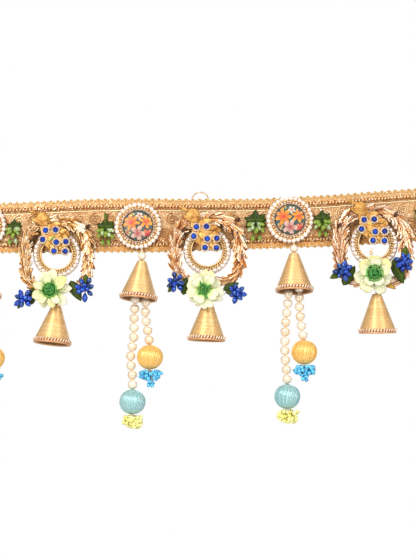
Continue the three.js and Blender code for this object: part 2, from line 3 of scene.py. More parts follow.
import bmesh
import bpy
import numpy as np
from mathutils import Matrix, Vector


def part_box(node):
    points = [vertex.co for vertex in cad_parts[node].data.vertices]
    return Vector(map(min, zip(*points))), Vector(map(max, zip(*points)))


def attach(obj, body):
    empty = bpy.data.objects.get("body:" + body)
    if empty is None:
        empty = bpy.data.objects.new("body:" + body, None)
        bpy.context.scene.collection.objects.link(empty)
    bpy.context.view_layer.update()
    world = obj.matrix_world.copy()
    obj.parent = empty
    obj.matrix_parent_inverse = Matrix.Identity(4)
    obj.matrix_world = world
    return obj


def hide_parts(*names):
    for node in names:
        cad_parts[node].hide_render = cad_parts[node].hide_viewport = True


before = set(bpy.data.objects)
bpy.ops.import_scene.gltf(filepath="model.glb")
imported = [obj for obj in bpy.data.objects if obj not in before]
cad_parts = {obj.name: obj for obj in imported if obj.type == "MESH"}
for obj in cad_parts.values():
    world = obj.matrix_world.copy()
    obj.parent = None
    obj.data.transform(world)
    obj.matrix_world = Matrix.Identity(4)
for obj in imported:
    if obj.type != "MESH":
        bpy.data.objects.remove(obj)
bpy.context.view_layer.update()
print("frame loaded:", len(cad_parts), "nodes")

mm = 0.001  # every shape below is worked out in millimetres


def srgb(*parts):
    # a colour as a screen shows it, from 0 to 255, in the linear values that the nodes take
    return tuple(((p / 255 + 0.055) / 1.055) ** 2.4 if p > 10 else p / 3295 for p in parts)


# Shapes

class Form:
    # points and faces of one shape, with three notes at each point: along, across and tone
    def __init__(self, points, corners, sizes, notes, smooth=True):
        self.points, self.corners, self.sizes, self.notes = points, corners, sizes, notes
        self.smooth = np.full(len(sizes), smooth)

    def placed(self, at=(0, 0, 0), turn=None, size=1.0, tone=None):
        points = self.points * size
        if turn is not None:
            points = points @ turn.T
        notes = self.notes
        if tone is not None:
            notes = notes.copy()
            notes[:, 2] = tone
        made = Form(points + np.asarray(at, float), self.corners, self.sizes, notes)
        made.smooth = self.smooth
        return made


def spun(axis, angle):
    # a turn about one axis, in degrees
    c, s = cos(radians(angle)), sin(radians(angle))
    return np.array({
        "x": [[1, 0, 0], [0, c, -s], [0, s, c]],
        "y": [[c, 0, s], [0, 1, 0], [-s, 0, c]],
        "z": [[c, -s, 0], [s, c, 0], [0, 0, 1]],
    }[axis])


faceFront = spun("x", 90)  # stands what was turned about Z on its side, with its top to the front


def rounds(rings, tone=0.5, smooth=True, loop=False):
    # a skin over rings of points; a ring of one point is a tip
    rings = [np.atleast_2d(ring) for ring in rings]
    many = len(rings)
    starts = np.cumsum([0] + [len(ring) for ring in rings])
    wide = max(len(ring) for ring in rings)
    here = np.arange(wide)
    after = (here + 1) % wide
    corners, sizes = [], []
    pairs = list(zip(range(many), range(1, many)))
    if loop:
        pairs.append((many - 1, 0))
    for low, high in pairs:
        a, b = starts[low], starts[high]
        if len(rings[low]) == 1:
            part = np.stack([np.full(wide, a), b + after, b + here], 1)
        elif len(rings[high]) == 1:
            part = np.stack([a + here, a + after, np.full(wide, b)], 1)
        else:
            part = np.stack([a + here, a + after, b + after, b + here], 1)
        corners.append(part.ravel())
        sizes.append(np.full(wide, part.shape[1]))
    if not loop:
        for ring, start, step in ((rings[0], starts[0], -1), (rings[-1], starts[-2], 1)):
            if len(ring) > 1:
                corners.append(start + here[::step])
                sizes.append([wide])
    points = np.concatenate(rings)
    along = np.concatenate([np.full(len(ring), i / (many - 1)) for i, ring in enumerate(rings)])
    across = np.concatenate([np.arange(len(ring)) / len(ring) for ring in rings])
    notes = np.stack([along, across, np.full(len(points), tone)], 1)
    corners, sizes = (np.concatenate(parts).astype(int) for parts in (corners, sizes))
    return Form(points, corners, sizes, notes, smooth)


def lathed(profile, around, smooth=True, loop=False):
    # turned about Z from rows of radius and height
    angle = circled(around)
    rings = []
    for r, h in profile:
        if r < 1e-6:
            rings.append([[0.0, 0.0, h]])
        else:
            rings.append(np.stack([r * np.cos(angle), r * np.sin(angle), np.full(around, float(h))], 1))
    return rounds(rings, smooth=smooth, loop=loop)


def ballForm(radius, around, rows):
    steps = np.linspace(0, pi, rows + 1)
    return lathed([(radius * sin(t) if 0 < t < pi else 0, radius * cos(t)) for t in steps], around)


def smoothThrough(points, steps, loop=False):
    # a soft curve through every point
    points = np.asarray(points, float)
    many = len(points)
    ring = (lambda i: points[i % many]) if loop else (lambda i: points[min(max(i, 0), many - 1)])
    curve = []
    for i in range(many if loop else many - 1):
        a, b, c, d = ring(i - 1), ring(i), ring(i + 1), ring(i + 2)
        for t in np.arange(steps) / steps:
            curve.append(0.5 * (2 * b + (c - a) * t + (2 * a - 5 * b + 4 * c - d) * t ** 2
                                + (3 * b - a - 3 * c + d) * t ** 3))
    if not loop:
        curve.append(points[-1])
    return np.array(curve)


def lengthsAlong(path):
    return np.concatenate([[0], np.cumsum(np.linalg.norm(np.diff(path, axis=0), axis=1))])


def valuesAt(values, lengths, distances):
    return np.stack([np.interp(distances, lengths, values[:, k]) for k in range(3)], 1)


def pointsAt(path, distances):
    return valuesAt(path, lengthsAlong(path), distances)


def frames(path, loop=False, reference=(0, 1, 0)):
    # two directions across a path at each of its points
    if loop:
        tangent = np.roll(path, -1, 0) - np.roll(path, 1, 0)
    else:
        tangent = np.gradient(path, axis=0)
    tangent /= np.linalg.norm(tangent, axis=1, keepdims=True)
    if np.abs(tangent @ np.asarray(reference, float)).max() > 0.97:
        reference = np.eye(3)[np.argmin(np.abs(tangent).max(0))]
    u = np.cross(np.asarray(reference, float), tangent)
    u /= np.linalg.norm(u, axis=1, keepdims=True)
    return u, np.cross(tangent, u)


def tube(path, radius, sides=6, loop=False, flat=1.0, tone=0.5, reference=(0, 1, 0)):
    path = np.asarray(path, float)
    u, v = frames(path, loop, reference)
    radius = np.broadcast_to(np.asarray(radius, float), len(path))[:, None, None]
    angle = circled(sides)
    spokes = np.cos(angle)[None, :, None] * u[:, None] + flat * np.sin(angle)[None, :, None] * v[:, None]
    return rounds(list(path[:, None] + radius * spokes), tone=tone, loop=loop)


def twisted(path, pitch, spread, radius, steps, sides, tones):
    # a cord wound round a path, with a ply for each tone
    total = lengthsAlong(path)[-1]
    turns = total / pitch
    at = np.linspace(0, total, int(turns * steps) + 1)
    middle = pointsAt(path, at)
    u, v = frames(middle)
    forms = []
    for ply, tone in enumerate(tones):
        angle = 2 * pi * (turns * at / total + ply / len(tones))
        line = middle + spread * (np.cos(angle)[:, None] * u + np.sin(angle)[:, None] * v)
        forms.append(tube(line, radius, sides, tone=tone))
    return forms


def blade(outline, thick, bend=None, rings=5, tone=0.5, heart=(0.5, 0.5)):
    # a thin closed pad in the XZ plane, thickest at its heart, with its front to -Y
    outline = np.asarray(outline, float)
    low, high = outline.min(0), outline.max(0)
    centre = low + (high - low) * np.asarray(heart)
    fronts, backs = [], []
    for s in np.linspace(0, 1, rings + 1):
        flat = centre + (outline - centre) * s if s > 0 else centre[None]
        lift = bend(flat[:, 0], flat[:, 1]) if bend else 0
        half = thick / 2 * sqrt(1 - s ** 2)
        for rows, y in ((fronts, lift - half), (backs, lift + half)):
            rows.append(np.stack([flat[:, 0], y + 0 * flat[:, 0], flat[:, 1]], 1))
    made = rounds(fronts + backs[-2::-1], tone=tone)
    made.notes[:, 0] = (made.points[:, 0] - low[0]) / (high[0] - low[0])
    made.notes[:, 1] = (made.points[:, 2] - low[1]) / (high[1] - low[1])
    return made


def leafOutline(long, wide, steps=9):
    # a pointed leaf that lies along X from its foot at zero
    t = np.linspace(0, 1, steps)
    half = wide / 2 * np.sin(pi * t ** 0.8) ** 0.8
    upper = np.stack([long * t, half], 1)
    return np.concatenate([upper, upper[-2:0:-1] * [1, -1]])


def closedCurve(points, steps):
    # a soft closed outline in the XZ plane
    raised = np.array([(x, 0, z) for x, z in points], float)
    return smoothThrough(raised, steps, loop=True)[:, [0, 2]]


def circled(steps):
    # angles all the way round
    return np.arange(steps) * 2 * pi / steps


def turnedOut(form, turn, tilt, foot=0.0, at=(0, 0, 0), tone=None):
    # turned to point out from a centre that faces the front; tilt lifts the tip to the front
    moved = form.placed((foot, 0, 0))
    return moved.placed(at, spun("y", -turn) @ spun("z", -tilt), tone=tone)


def piece(name, forms, finish, nodes=()):
    # one object of the shapes, in metres, that rides with the toran and stands for the nodes named
    mesh = bpy.data.meshes.new(name)
    offset, corners = 0, []
    for form in forms:
        corners.append(form.corners + offset)
        offset += len(form.points)
    corners = np.concatenate(corners)
    sizes = np.concatenate([form.sizes for form in forms])
    points = np.concatenate([form.points for form in forms]) * mm
    mesh.vertices.add(len(points))
    mesh.vertices.foreach_set("co", points.ravel())
    mesh.loops.add(len(corners))
    mesh.loops.foreach_set("vertex_index", corners)
    mesh.polygons.add(len(sizes))
    mesh.polygons.foreach_set("loop_start", np.concatenate([[0], np.cumsum(sizes)[:-1]]))
    mesh.polygons.foreach_set("use_smooth", np.concatenate([form.smooth for form in forms]))
    mesh.update(calc_edges=True)
    notes = mesh.attributes.new("notes", "FLOAT_VECTOR", "POINT")
    notes.data.foreach_set("vector", np.concatenate([form.notes for form in forms]).ravel())
    shell = bmesh.new()
    shell.from_mesh(mesh)
    bmesh.ops.recalc_face_normals(shell, faces=shell.faces)
    shell.to_mesh(mesh)
    shell.free()
    mesh.materials.append(finish)
    made = bpy.data.objects.new(name, mesh)
    bpy.context.scene.collection.objects.link(made)
    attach(made, "root")
    if nodes:
        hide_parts(*nodes)
    return made


def boxOf(node):
    # lowest and highest corner and centre of a node, in millimetres
    low, high = (np.array(corner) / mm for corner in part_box(node))
    return low, high, (low + high) / 2


# Materials

class Feed:
    # one socket of a finish; each sum on it adds a Math node
    def __init__(self, finish, socket):
        self.finish, self.socket = finish, socket

    def maths(self, operation, other=0.0):
        return self.finish.node("ShaderNodeMath", {"operation": operation}, {0: self, 1: other})

    def __add__(self, other):
        return self.maths("ADD", other)

    def __sub__(self, other):
        return self.maths("SUBTRACT", other)

    def __mul__(self, other):
        return self.maths("MULTIPLY", other)

    def __pow__(self, other):
        return self.maths("POWER", other)


class Finish:
    # one material: a Principled shader with its constants, and nodes for what varies
    def __init__(self, name, constants):
        self.material = bpy.data.materials.new(name)
        self.material.use_nodes = True
        self.tree = self.material.node_tree
        self.shader = self.tree.nodes["Principled BSDF"]
        for socket, value in constants.items():
            self.fill(self.shader.inputs[socket], value)

    def fill(self, socket, value):
        if isinstance(value, Feed):
            self.tree.links.new(value.socket, socket)
        elif socket.type == "RGBA":
            socket.default_value = (*value, 1)
        else:
            socket.default_value = value

    def node(self, kind, settings=None, values=None, output=0):
        node = self.tree.nodes.new(kind)
        for name, value in (settings or {}).items():
            if name == "stops":
                elements = node.color_ramp.elements
                elements.remove(elements[-1])
                elements[0].position, elements[0].color = value[0][0], (*value[0][1], 1)
                for place, colour in value[1:]:
                    elements.new(place).color = (*colour, 1)
            else:
                setattr(node, name, value)
        for name, value in (values or {}).items():
            self.fill(node.inputs[name], value)
        return Feed(self, node.outputs[output])

    def notes(self):
        # along, across and tone of each shape
        noted = self.node("ShaderNodeAttribute", {"attribute_name": "notes"}, output="Vector")
        split = self.node("ShaderNodeSeparateXYZ", None, {0: noted}).socket.node
        return [Feed(self, output) for output in split.outputs]

    def spot(self, stretch=(1, 1, 1)):
        # where a point is, in millimetres, stretched to suit a pattern
        place = self.node("ShaderNodeTexCoord", output="Object")
        scale = tuple(part / mm for part in stretch)
        return self.node("ShaderNodeVectorMath", {"operation": "MULTIPLY"}, {0: place, 1: scale})

    def noise(self, scale, detail=2.0, spot=None):
        return self.node("ShaderNodeTexNoise", None,
                         {"Vector": spot or self.spot(), "Scale": scale, "Detail": detail})

    def cells(self, scale, output="Color", spot=None):
        return self.node("ShaderNodeTexVoronoi", None, {"Vector": spot or self.spot(), "Scale": scale},
                         output)

    def part(self, colour, channel=0):
        # one channel of a colour, as a number
        split = self.node("ShaderNodeSeparateColor", None, {0: colour}).socket.node
        return Feed(self, split.outputs[channel])

    def ramp(self, factor, *stops):
        return self.node("ShaderNodeValToRGB", {"stops": stops}, {0: factor})

    def mix(self, factor, first, second, blend="MIX"):
        return self.node("ShaderNodeMix", {"data_type": "RGBA", "blend_type": blend},
                         {0: factor, 6: first, 7: second}, 2)

    def range(self, value, low, high, toLow, toHigh):
        return self.node("ShaderNodeMapRange", None, {0: value, 1: low, 2: high, 3: toLow, 4: toHigh})

    def dress(self, colour=None, roughness=None, metallic=None, height=None, strength=0.5, distance=0.2):
        # feeds what varies over the surface, with any height as a bump
        for socket, value in (("Base Color", colour), ("Roughness", roughness), ("Metallic", metallic)):
            if value is not None:
                self.fill(self.shader.inputs[socket], value)
        if height is not None:
            bump = self.node("ShaderNodeBump", None,
                             {"Height": height, "Strength": strength, "Distance": distance * mm})
            self.fill(self.shader.inputs["Normal"], bump)
        return self.material


def wovenGold(name, zones):
    # metallic yarn woven flat: grains of dark and bright yarn, the brightest with painted glints, over zones
    # of colour down the band
    finish = Finish(name, {"Metallic": 0.35, "Specular IOR Level": 0.5, "Sheen Weight": 0.1})
    depth = finish.notes()[2]
    grain = finish.part(finish.cells(1.25))
    clump = finish.part(finish.cells(0.55), 1)
    patch = finish.noise(0.12, 3.0)
    yarn = grain * 0.5 + clump * 0.3 + patch * 0.4
    tint = finish.ramp(finish.range(yarn, 0.2, 1.0, 0, 1), (0.0, srgb(120, 74, 40)),
                       (0.3, srgb(186, 128, 80)), (0.6, srgb(216, 164, 112)), (0.85, srgb(234, 192, 138)),
                       (1.0, srgb(252, 232, 194)))
    ground = finish.ramp(depth, *zones)
    coarse = finish.range((depth - 0.5).maths("ABSOLUTE"), 0.36, 0.4, 0.66, 0.34)
    colour = finish.mix(coarse, ground, tint, "MULTIPLY")
    # painted highlight: the brightest grains are mixed towards near white as glints
    lit = finish.mix(finish.range(grain, 0.82, 0.92, 0, 0.8), colour, srgb(255, 234, 196))
    return finish.dress(lit, finish.range(grain, 0.3, 1, 0.6, 0.25), height=grain + clump, strength=0.5,
                        distance=0.3)


def threadGold(name, dark, middle, bright, metallic=0.5, rough=(0.3, 0.45), scale=1.4):
    # silky plied thread: tone by strand, fine fibres and a little wear
    finish = Finish(name, {"Metallic": metallic, "Sheen Weight": 0.1})
    tone = finish.notes()[2]
    fibre = finish.noise(scale, 2.0, finish.spot((1, 2, 3)))
    mixed = finish.range(tone * 0.7 + fibre * 0.45, 0.2, 0.95, 0, 1)
    colour = finish.ramp(mixed, (0.0, dark), (0.5, middle), (1.0, bright))
    return finish.dress(colour, finish.range(fibre, 0.3, 0.7, *rough), height=fibre, strength=0.35,
                        distance=0.12)


def foilStrip(name, shadow, dark, middle, bright):
    # creased metallised strips, from amber to near silver; the shadow stop stands for painted shade and the
    # near-white top for painted highlight
    finish = Finish(name, {"Metallic": 0.6, "Specular IOR Level": 0.7})
    tone = finish.notes()[2]
    crease = finish.noise(0.8, 3.0, finish.spot((2.2, 1.0, 0.7)))
    shade = finish.range(tone * 0.85 + crease * 0.3, 0.12, 0.95, 0, 1)
    # painted shade at the shadow stop and a painted highlight at the near-white top, fed by the strips' tones
    colour = finish.ramp(shade, (0.0, shadow), (0.25, dark), (0.55, middle), (0.8, bright),
                         (1.0, srgb(255, 250, 238)))
    return finish.dress(colour, finish.range(crease, 0.3, 0.7, 0.18, 0.4), height=crease, strength=0.5,
                        distance=0.5)


def castMetal(name, dark, bright, metallic=0.75, rough=(0.25, 0.42)):
    # plated cast metal with a little tarnish in its low places
    finish = Finish(name, {"Metallic": metallic})
    hammered = finish.noise(0.55, 2.0)
    stain = finish.noise(0.2, 3.0)
    lines = finish.node("ShaderNodeTexWave", {"bands_direction": "DIAGONAL"},
                        {"Vector": finish.spot(), "Scale": 0.32, "Distortion": 5.0, "Detail Scale": 0.4})
    engraved = finish.part(lines)
    colour = finish.mix(finish.range(stain, 0.35, 0.65, 0, 1), dark, bright)
    cut = finish.mix(finish.range(engraved, 0.1, 0.5, 0.35, 0), colour, dark, "MULTIPLY")
    return finish.dress(cut, finish.range(hammered, 0.3, 0.7, *rough), height=hammered + engraved * 0.6,
                        strength=0.6, distance=0.4)


def pearlCoat(name, body, warm):
    # imitation pearl: soft body colour under a clear lacquer
    finish = Finish(name, {"Coat Weight": 1.0, "Coat Roughness": 0.12, "Coat IOR": 1.8, "Metallic": 0.25})
    tone = finish.notes()[2]
    cloud = finish.noise(0.35, 2.0)
    colour = finish.mix(finish.range(tone * 0.5 + cloud * 0.6, 0.3, 0.85, 0, 1), body, warm)
    return finish.dress(colour, finish.range(cloud, 0.3, 0.7, 0.28, 0.36), height=cloud, strength=0.02,
                        distance=0.3)


def cutStone(name, deep, pale, metallic=0.0, rough=0.06, gloss=1.0):
    # cut glass with a foil back, painted darker at its back and girdle as shade round its setting
    finish = Finish(name, {"Metallic": metallic, "Coat Weight": gloss, "Coat Roughness": 0.02,
                           "Specular IOR Level": 0.8 * gloss})
    along, _, tone = finish.notes()
    inside = finish.part(finish.cells(1.3))
    colour = finish.mix(finish.range(inside * 0.6 + tone * 0.4, 0.25, 0.85, 0, 1), deep, pale)
    # painted shade: rows of the back and girdle are mixed towards the deep colour
    rimmed = finish.mix(finish.range(along, 0.5, 0.8, 0.8, 0), colour, deep)
    return finish.dress(rimmed, finish.range(inside, 0, 1, rough, rough + 0.06))


def silkBall(name, dark, middle, bright):
    # silk and tinsel threads wound from top to bottom, each a little lighter or darker, with painted shade in
    # the grooves between them
    finish = Finish(name, {"Metallic": 0.2, "Specular IOR Level": 0.9})
    tone = finish.notes()[2]
    fibre = finish.noise(1.1, 2.0, finish.spot((1, 1, 0.7)))
    shade = finish.range(tone * 0.85 + fibre * 0.25, 0.1, 1.0, 0, 1)
    colour = finish.ramp(shade, (0.0, dark), (0.45, middle), (1.0, bright))
    return finish.dress(colour, finish.range(fibre, 0.35, 0.65, 0.2, 0.4), height=fibre, strength=0.25,
                        distance=0.3)


def seedBead(name, dark, bright):
    # glossy moulded beads, no two quite the same colour
    finish = Finish(name, {"Coat Weight": 0.8, "Coat Roughness": 0.05})
    tone = finish.notes()[2]
    swirl = finish.noise(0.8, 2.0)
    colour = finish.mix(finish.range(tone * 0.7 + swirl * 0.4, 0.2, 0.9, 0, 1), dark, bright)
    return finish.dress(colour, finish.range(swirl, 0.3, 0.7, 0.12, 0.24), height=swirl, strength=0.08,
                        distance=0.3)


def petalCloth():
    # stiffened cloth petals: green at the foot, cream in the middle, yellow towards the tip, with veins
    finish = Finish("petal_cloth", {"Sheen Weight": 0.3, "Subsurface Weight": 0.2,
                                    "Subsurface Radius": (0.003, 0.003, 0.0012), "Specular IOR Level": 0.3})
    along, across, tone = finish.notes()
    cloud = finish.noise(0.28, 3.0)
    reach = finish.range(along + cloud * 0.35 - 0.17, 0, 1, 0, 1)
    colour = finish.ramp(reach, (0.0, srgb(58, 136, 52)), (0.24, srgb(118, 182, 80)),
                         (0.4, srgb(208, 224, 142)), (0.58, srgb(232, 232, 194)),
                         (0.88, srgb(238, 234, 206)), (1.0, srgb(226, 216, 160)))
    yellow = finish.mix(finish.range(tone, 0.4, 1.0, 0, 0.8) * finish.range(reach, 0.4, 0.9, 0.1, 1),
                        colour, srgb(236, 222, 104))
    aside = (across - 0.5).maths("ABSOLUTE")
    pressed = ((along * 11 + aside * aside * 22 + cloud * 1.5).maths("FRACT") - 0.5).maths("ABSOLUTE")
    lined = finish.mix(finish.range(pressed, 0.3, 0.5, 0, 0.35), yellow, srgb(206, 204, 140))
    veins = finish.noise(1.3, 2.0)
    return finish.dress(lined, finish.range(veins, 0.3, 0.7, 0.5, 0.75), height=veins + cloud - pressed * 1.4,
                        strength=0.5, distance=0.35)


def leafCloth(name, dark, middle, pale):
    # stiffened cloth leaf: printed veins on a mottled green
    finish = Finish(name, {"Sheen Weight": 0.02, "Specular IOR Level": 0.18})
    along, across, tone = finish.notes()
    mottle = finish.noise(0.45, 4.0)
    rib = (across - 0.5).maths("ABSOLUTE")
    ribs = finish.range(rib, 0.0, 0.06, 1, 0)
    slants = (along * 9 + rib * 7).maths("FRACT")
    veins = finish.range((slants - 0.5).maths("ABSOLUTE"), 0.4, 0.5, 0, 0.7)
    colour = finish.ramp(finish.range(mottle * 0.6 + tone * 0.4, 0.2, 0.8, 0, 1), (0.0, dark), (0.55, middle),
                         (1.0, pale))
    veined = finish.mix(finish.range(ribs + veins * 0.5, 0, 1, 0, 0.45), colour, pale)
    return finish.dress(veined, finish.range(mottle, 0.3, 0.7, 0.38, 0.62), height=ribs + veins + mottle,
                        strength=0.4, distance=0.3)


def glitterBud(name, dark, middle, flakeColour, share):
    # a moulded bud under fine glitter; the share is of grains that stay dark
    finish = Finish(name, {"Specular IOR Level": 0.4, "Coat Weight": 0.12, "Coat Roughness": 0.2})
    tone = finish.notes()[2]
    grains = finish.cells(1.9)
    grain = finish.part(grains)
    flash = finish.range(grain, share, share + 0.08, 0, 1)
    cloud = finish.noise(0.4, 2.0)
    colour = finish.mix(finish.range(cloud * 0.6 + tone * 0.5, 0.3, 0.8, 0, 1), dark, middle)
    sparkled = finish.mix(flash * 0.8, colour, flakeColour)
    return finish.dress(sparkled, finish.range(grain, 0, 1, 0.5, 0.15), finish.range(flash, 0, 1, 0.05, 0.7),
                        finish.cells(1.9, "Distance"), 0.7, 0.3)


def limeBud():
    # moulded lime buds, darker at the foot, some with white frost on top
    finish = Finish("lime_bud", {"Specular IOR Level": 0.5, "Subsurface Weight": 0.1,
                                 "Subsurface Radius": (0.001, 0.002, 0.0005)})
    along, _, tone = finish.notes()
    cloud = finish.noise(0.6, 3.0)
    green = finish.ramp(finish.range(along + cloud * 0.4 - 0.2, 0, 1, 0, 1), (0.0, srgb(50, 78, 20)),
                        (0.4, srgb(94, 126, 30)), (1.0, srgb(150, 168, 60)))
    frost = finish.range(finish.noise(1.7, 3.0), 0.46, 0.58, 0, 1) * finish.range(tone, 0.6, 0.7, 0, 0.85)
    colour = finish.mix(frost, green, srgb(226, 240, 214))
    return finish.dress(colour, finish.range(frost, 0, 1, 0.35, 0.7), height=frost + cloud * 0.3,
                        strength=0.5, distance=0.3)


def printedDisc():
    # a generic flower print under clear resin: seven painted flowers on a dark teal ground
    finish = Finish("printed_disc", {"Coat Weight": 0.25, "Coat Roughness": 0.2, "Specular IOR Level": 0.3})
    along, across, _ = finish.notes()
    cloud = finish.noise(0.5, 3.0)
    waver = finish.cells(0.16, spot=finish.spot((1, 0.3, 1)))
    drift = finish.noise(0.34, 2.0)
    colour = finish.mix(finish.range(cloud, 0.35, 0.65, 0, 1), srgb(16, 40, 52), srgb(38, 88, 86))
    blooms = [  # across and up in disc radii, reach, petals, turn, dark, bright
        (0.68, -0.56, 0.32, 5, 0.5, srgb(190, 50, 54), srgb(226, 120, 84)),
        (-0.7, -0.48, 0.26, 6, 0.0, srgb(120, 96, 52), srgb(190, 176, 110)),
        (-0.46, 0.2, 0.55, 7, 0.3, srgb(196, 66, 18), srgb(232, 148, 32)),
        (0.56, 0.24, 0.46, 6, 0.9, srgb(200, 84, 30), srgb(232, 164, 54)),
        (0.0, -0.52, 0.5, 5, 0.2, srgb(160, 84, 84), srgb(216, 180, 160)),
        (0.12, 0.66, 0.26, 5, 1.2, srgb(196, 160, 132), srgb(226, 210, 190)),
        (-0.42, 0.8, 0.2, 4, 0.6, srgb(104, 134, 34), srgb(206, 204, 76)),
    ]
    for acrossAt, upAt, reach, petals, turn, dark, bright in blooms:
        x = along - (0.5 + acrossAt / 2) + (drift - 0.5) * 0.12
        z = across - (0.5 + upAt / 2) + (cloud - 0.5) * 0.1
        far = (x * x + z * z) ** 0.5
        angle = z.maths("ARCTAN2", x)
        lobe = (angle * (petals / 2) + turn).maths("COSINE").maths("ABSOLUTE")
        edge = lobe * (0.3 * reach) + 0.24 * reach
        inside = finish.range(edge - far, 0.0, 0.015, 0, 1)
        stroke = finish.range(far + (cloud - 0.5) * 0.3 + lobe * 0.05, 0.06, 0.55 * reach, 0, 1)
        petal = finish.mix(stroke, dark, bright)
        petal = finish.mix(finish.range(edge - far, 0.0, 0.035, 0.55, 0), petal, srgb(110, 58, 44))
        colour = finish.mix(inside, colour, petal)
        colour = finish.mix(finish.range(far, 0.02, 0.05, 0.8, 0), colour, srgb(190, 40, 70))
    colour = finish.mix(finish.part(waver) * 0.1, colour, srgb(220, 190, 160))
    return finish.dress(colour, finish.range(cloud, 0.3, 0.7, 0.4, 0.55))


finishes = {
    "braid": wovenGold("braid_weave", [
        # the dark brown zones from 0.115 to 0.2 and from 0.795 to 0.89 lie under the rows of stitches as
        # painted shade between them
        (0.0, srgb(226, 188, 130)), (0.1, srgb(224, 182, 118)), (0.115, srgb(172, 108, 36)),
        (0.2, srgb(160, 94, 30)), (0.222, srgb(212, 164, 98)), (0.26, srgb(226, 196, 144)),
        (0.5, srgb(230, 202, 152)), (0.76, srgb(226, 182, 112)), (0.795, srgb(170, 104, 34)),
        (0.89, srgb(164, 96, 30)), (0.91, srgb(232, 172, 88)), (1.0, srgb(228, 166, 84))]),
    "selvedge": threadGold("selvedge_cord", srgb(160, 112, 54), srgb(208, 166, 100), srgb(238, 206, 146)),
    "rope": threadGold("rope_yarn", srgb(148, 86, 22), srgb(192, 132, 54), srgb(244, 218, 168)),
    "gimp": threadGold("gimp_curl", srgb(144, 88, 40), srgb(210, 154, 92), srgb(250, 222, 176)),
    "foilTape": threadGold("foil_tape", srgb(206, 150, 76), srgb(244, 202, 136), srgb(255, 242, 206), 0.5,
                           (0.25, 0.4), 0.4),
    "strip1": foilStrip("foil_strip_gold", srgb(104, 58, 18), srgb(190, 124, 54), srgb(236, 188, 120),
                        srgb(252, 226, 172)),
    "strip2": foilStrip("foil_strip_amber", srgb(104, 56, 22), srgb(192, 126, 64), srgb(236, 184, 128),
                        srgb(252, 224, 184)),
    "strip3": foilStrip("foil_strip_rose", srgb(122, 72, 36), srgb(210, 150, 96), srgb(246, 202, 158),
                        srgb(255, 230, 202)),
    # the dark cord that the strips are bound over, and its ties; where the cord shows in the gaps between
    # strips it also gives painted shade
    "core": threadGold("garland_core", srgb(74, 40, 18), srgb(110, 64, 30), srgb(150, 92, 48), 0.2,
                       (0.6, 0.8)),
    "coneThread": threadGold("cone_thread", srgb(172, 114, 56), srgb(228, 180, 112), srgb(250, 216, 160), 0.5,
                             (0.3, 0.42), 0.9),
    "coneTrim": threadGold("cone_trim", srgb(150, 84, 40), srgb(222, 164, 112), srgb(255, 238, 214), 0.4,
                           (0.25, 0.4)),
    "lining": threadGold("cone_lining", srgb(92, 56, 26), srgb(124, 80, 40), srgb(160, 110, 62), 0.1,
                         (0.6, 0.8)),
    "charm": castMetal("charm_gold", srgb(178, 118, 46), srgb(228, 178, 98), 0.5, (0.28, 0.45)),
    "wire": castMetal("ring_wire", srgb(196, 156, 104), srgb(238, 208, 160)),
    "rimGold": threadGold("rim_braid", srgb(142, 84, 30), srgb(214, 156, 82), srgb(252, 226, 172)),
    "silver": castMetal("stone_cup", srgb(190, 170, 140), srgb(240, 226, 206), 0.7),
    "pearl": pearlCoat("string_pearl", srgb(250, 232, 206), srgb(240, 212, 174)),
    "rimPearl": pearlCoat("rim_pearl", srgb(252, 240, 232), srgb(236, 214, 198)),
    "rhinestone": cutStone("rhinestone", srgb(214, 186, 156), srgb(255, 250, 240), 0.1, 0.12),
    "blueStone": cutStone("blue_stone", srgb(2, 12, 92), srgb(14, 88, 236), 0.1, 0.06, 0.45),
    "disc": printedDisc(),
    # dark bezel round each picture disc; on the charms the same dark rings stand for painted shade round the
    # blue stones
    "bezel": threadGold("disc_bezel", srgb(52, 40, 32), srgb(84, 64, 46), srgb(130, 96, 62), 0.4, (0.4, 0.5)),
    "yellow": silkBall("yellow_silk", srgb(204, 126, 24), srgb(244, 182, 72), srgb(255, 226, 146)),
    "teal": silkBall("teal_silk", srgb(92, 160, 160), srgb(138, 190, 190), srgb(196, 224, 222)),
    "blueBead": seedBead("blue_bead", srgb(40, 150, 205), srgb(104, 208, 244)),
    "lemonBead": seedBead("lemon_bead", srgb(234, 224, 112), srgb(253, 250, 176)),
    "cord": threadGold("string_cord", srgb(206, 180, 140), srgb(232, 212, 176), srgb(250, 240, 214), 0.1,
                       (0.5, 0.7)),
    "petal": petalCloth(),
    "rolled": leafCloth("rolled_bud", srgb(34, 104, 46), srgb(84, 160, 78), srgb(166, 206, 112)),
    "leaf": leafCloth("spray_leaf", srgb(24, 36, 4), srgb(50, 70, 10), srgb(108, 120, 26)),
    "bud": glitterBud("blue_bud", srgb(1, 5, 42), srgb(4, 46, 176), srgb(96, 156, 245), 0.69),
    "lime": limeBud(),
    "brownLeaf": leafCloth("brown_leaf", srgb(120, 84, 24), srgb(186, 144, 56), srgb(216, 184, 96)),
}
print("finishes made:", len(finishes))


# Band: woven braid with scalloped edges, twisted ropes, a foil line and curls of gimp

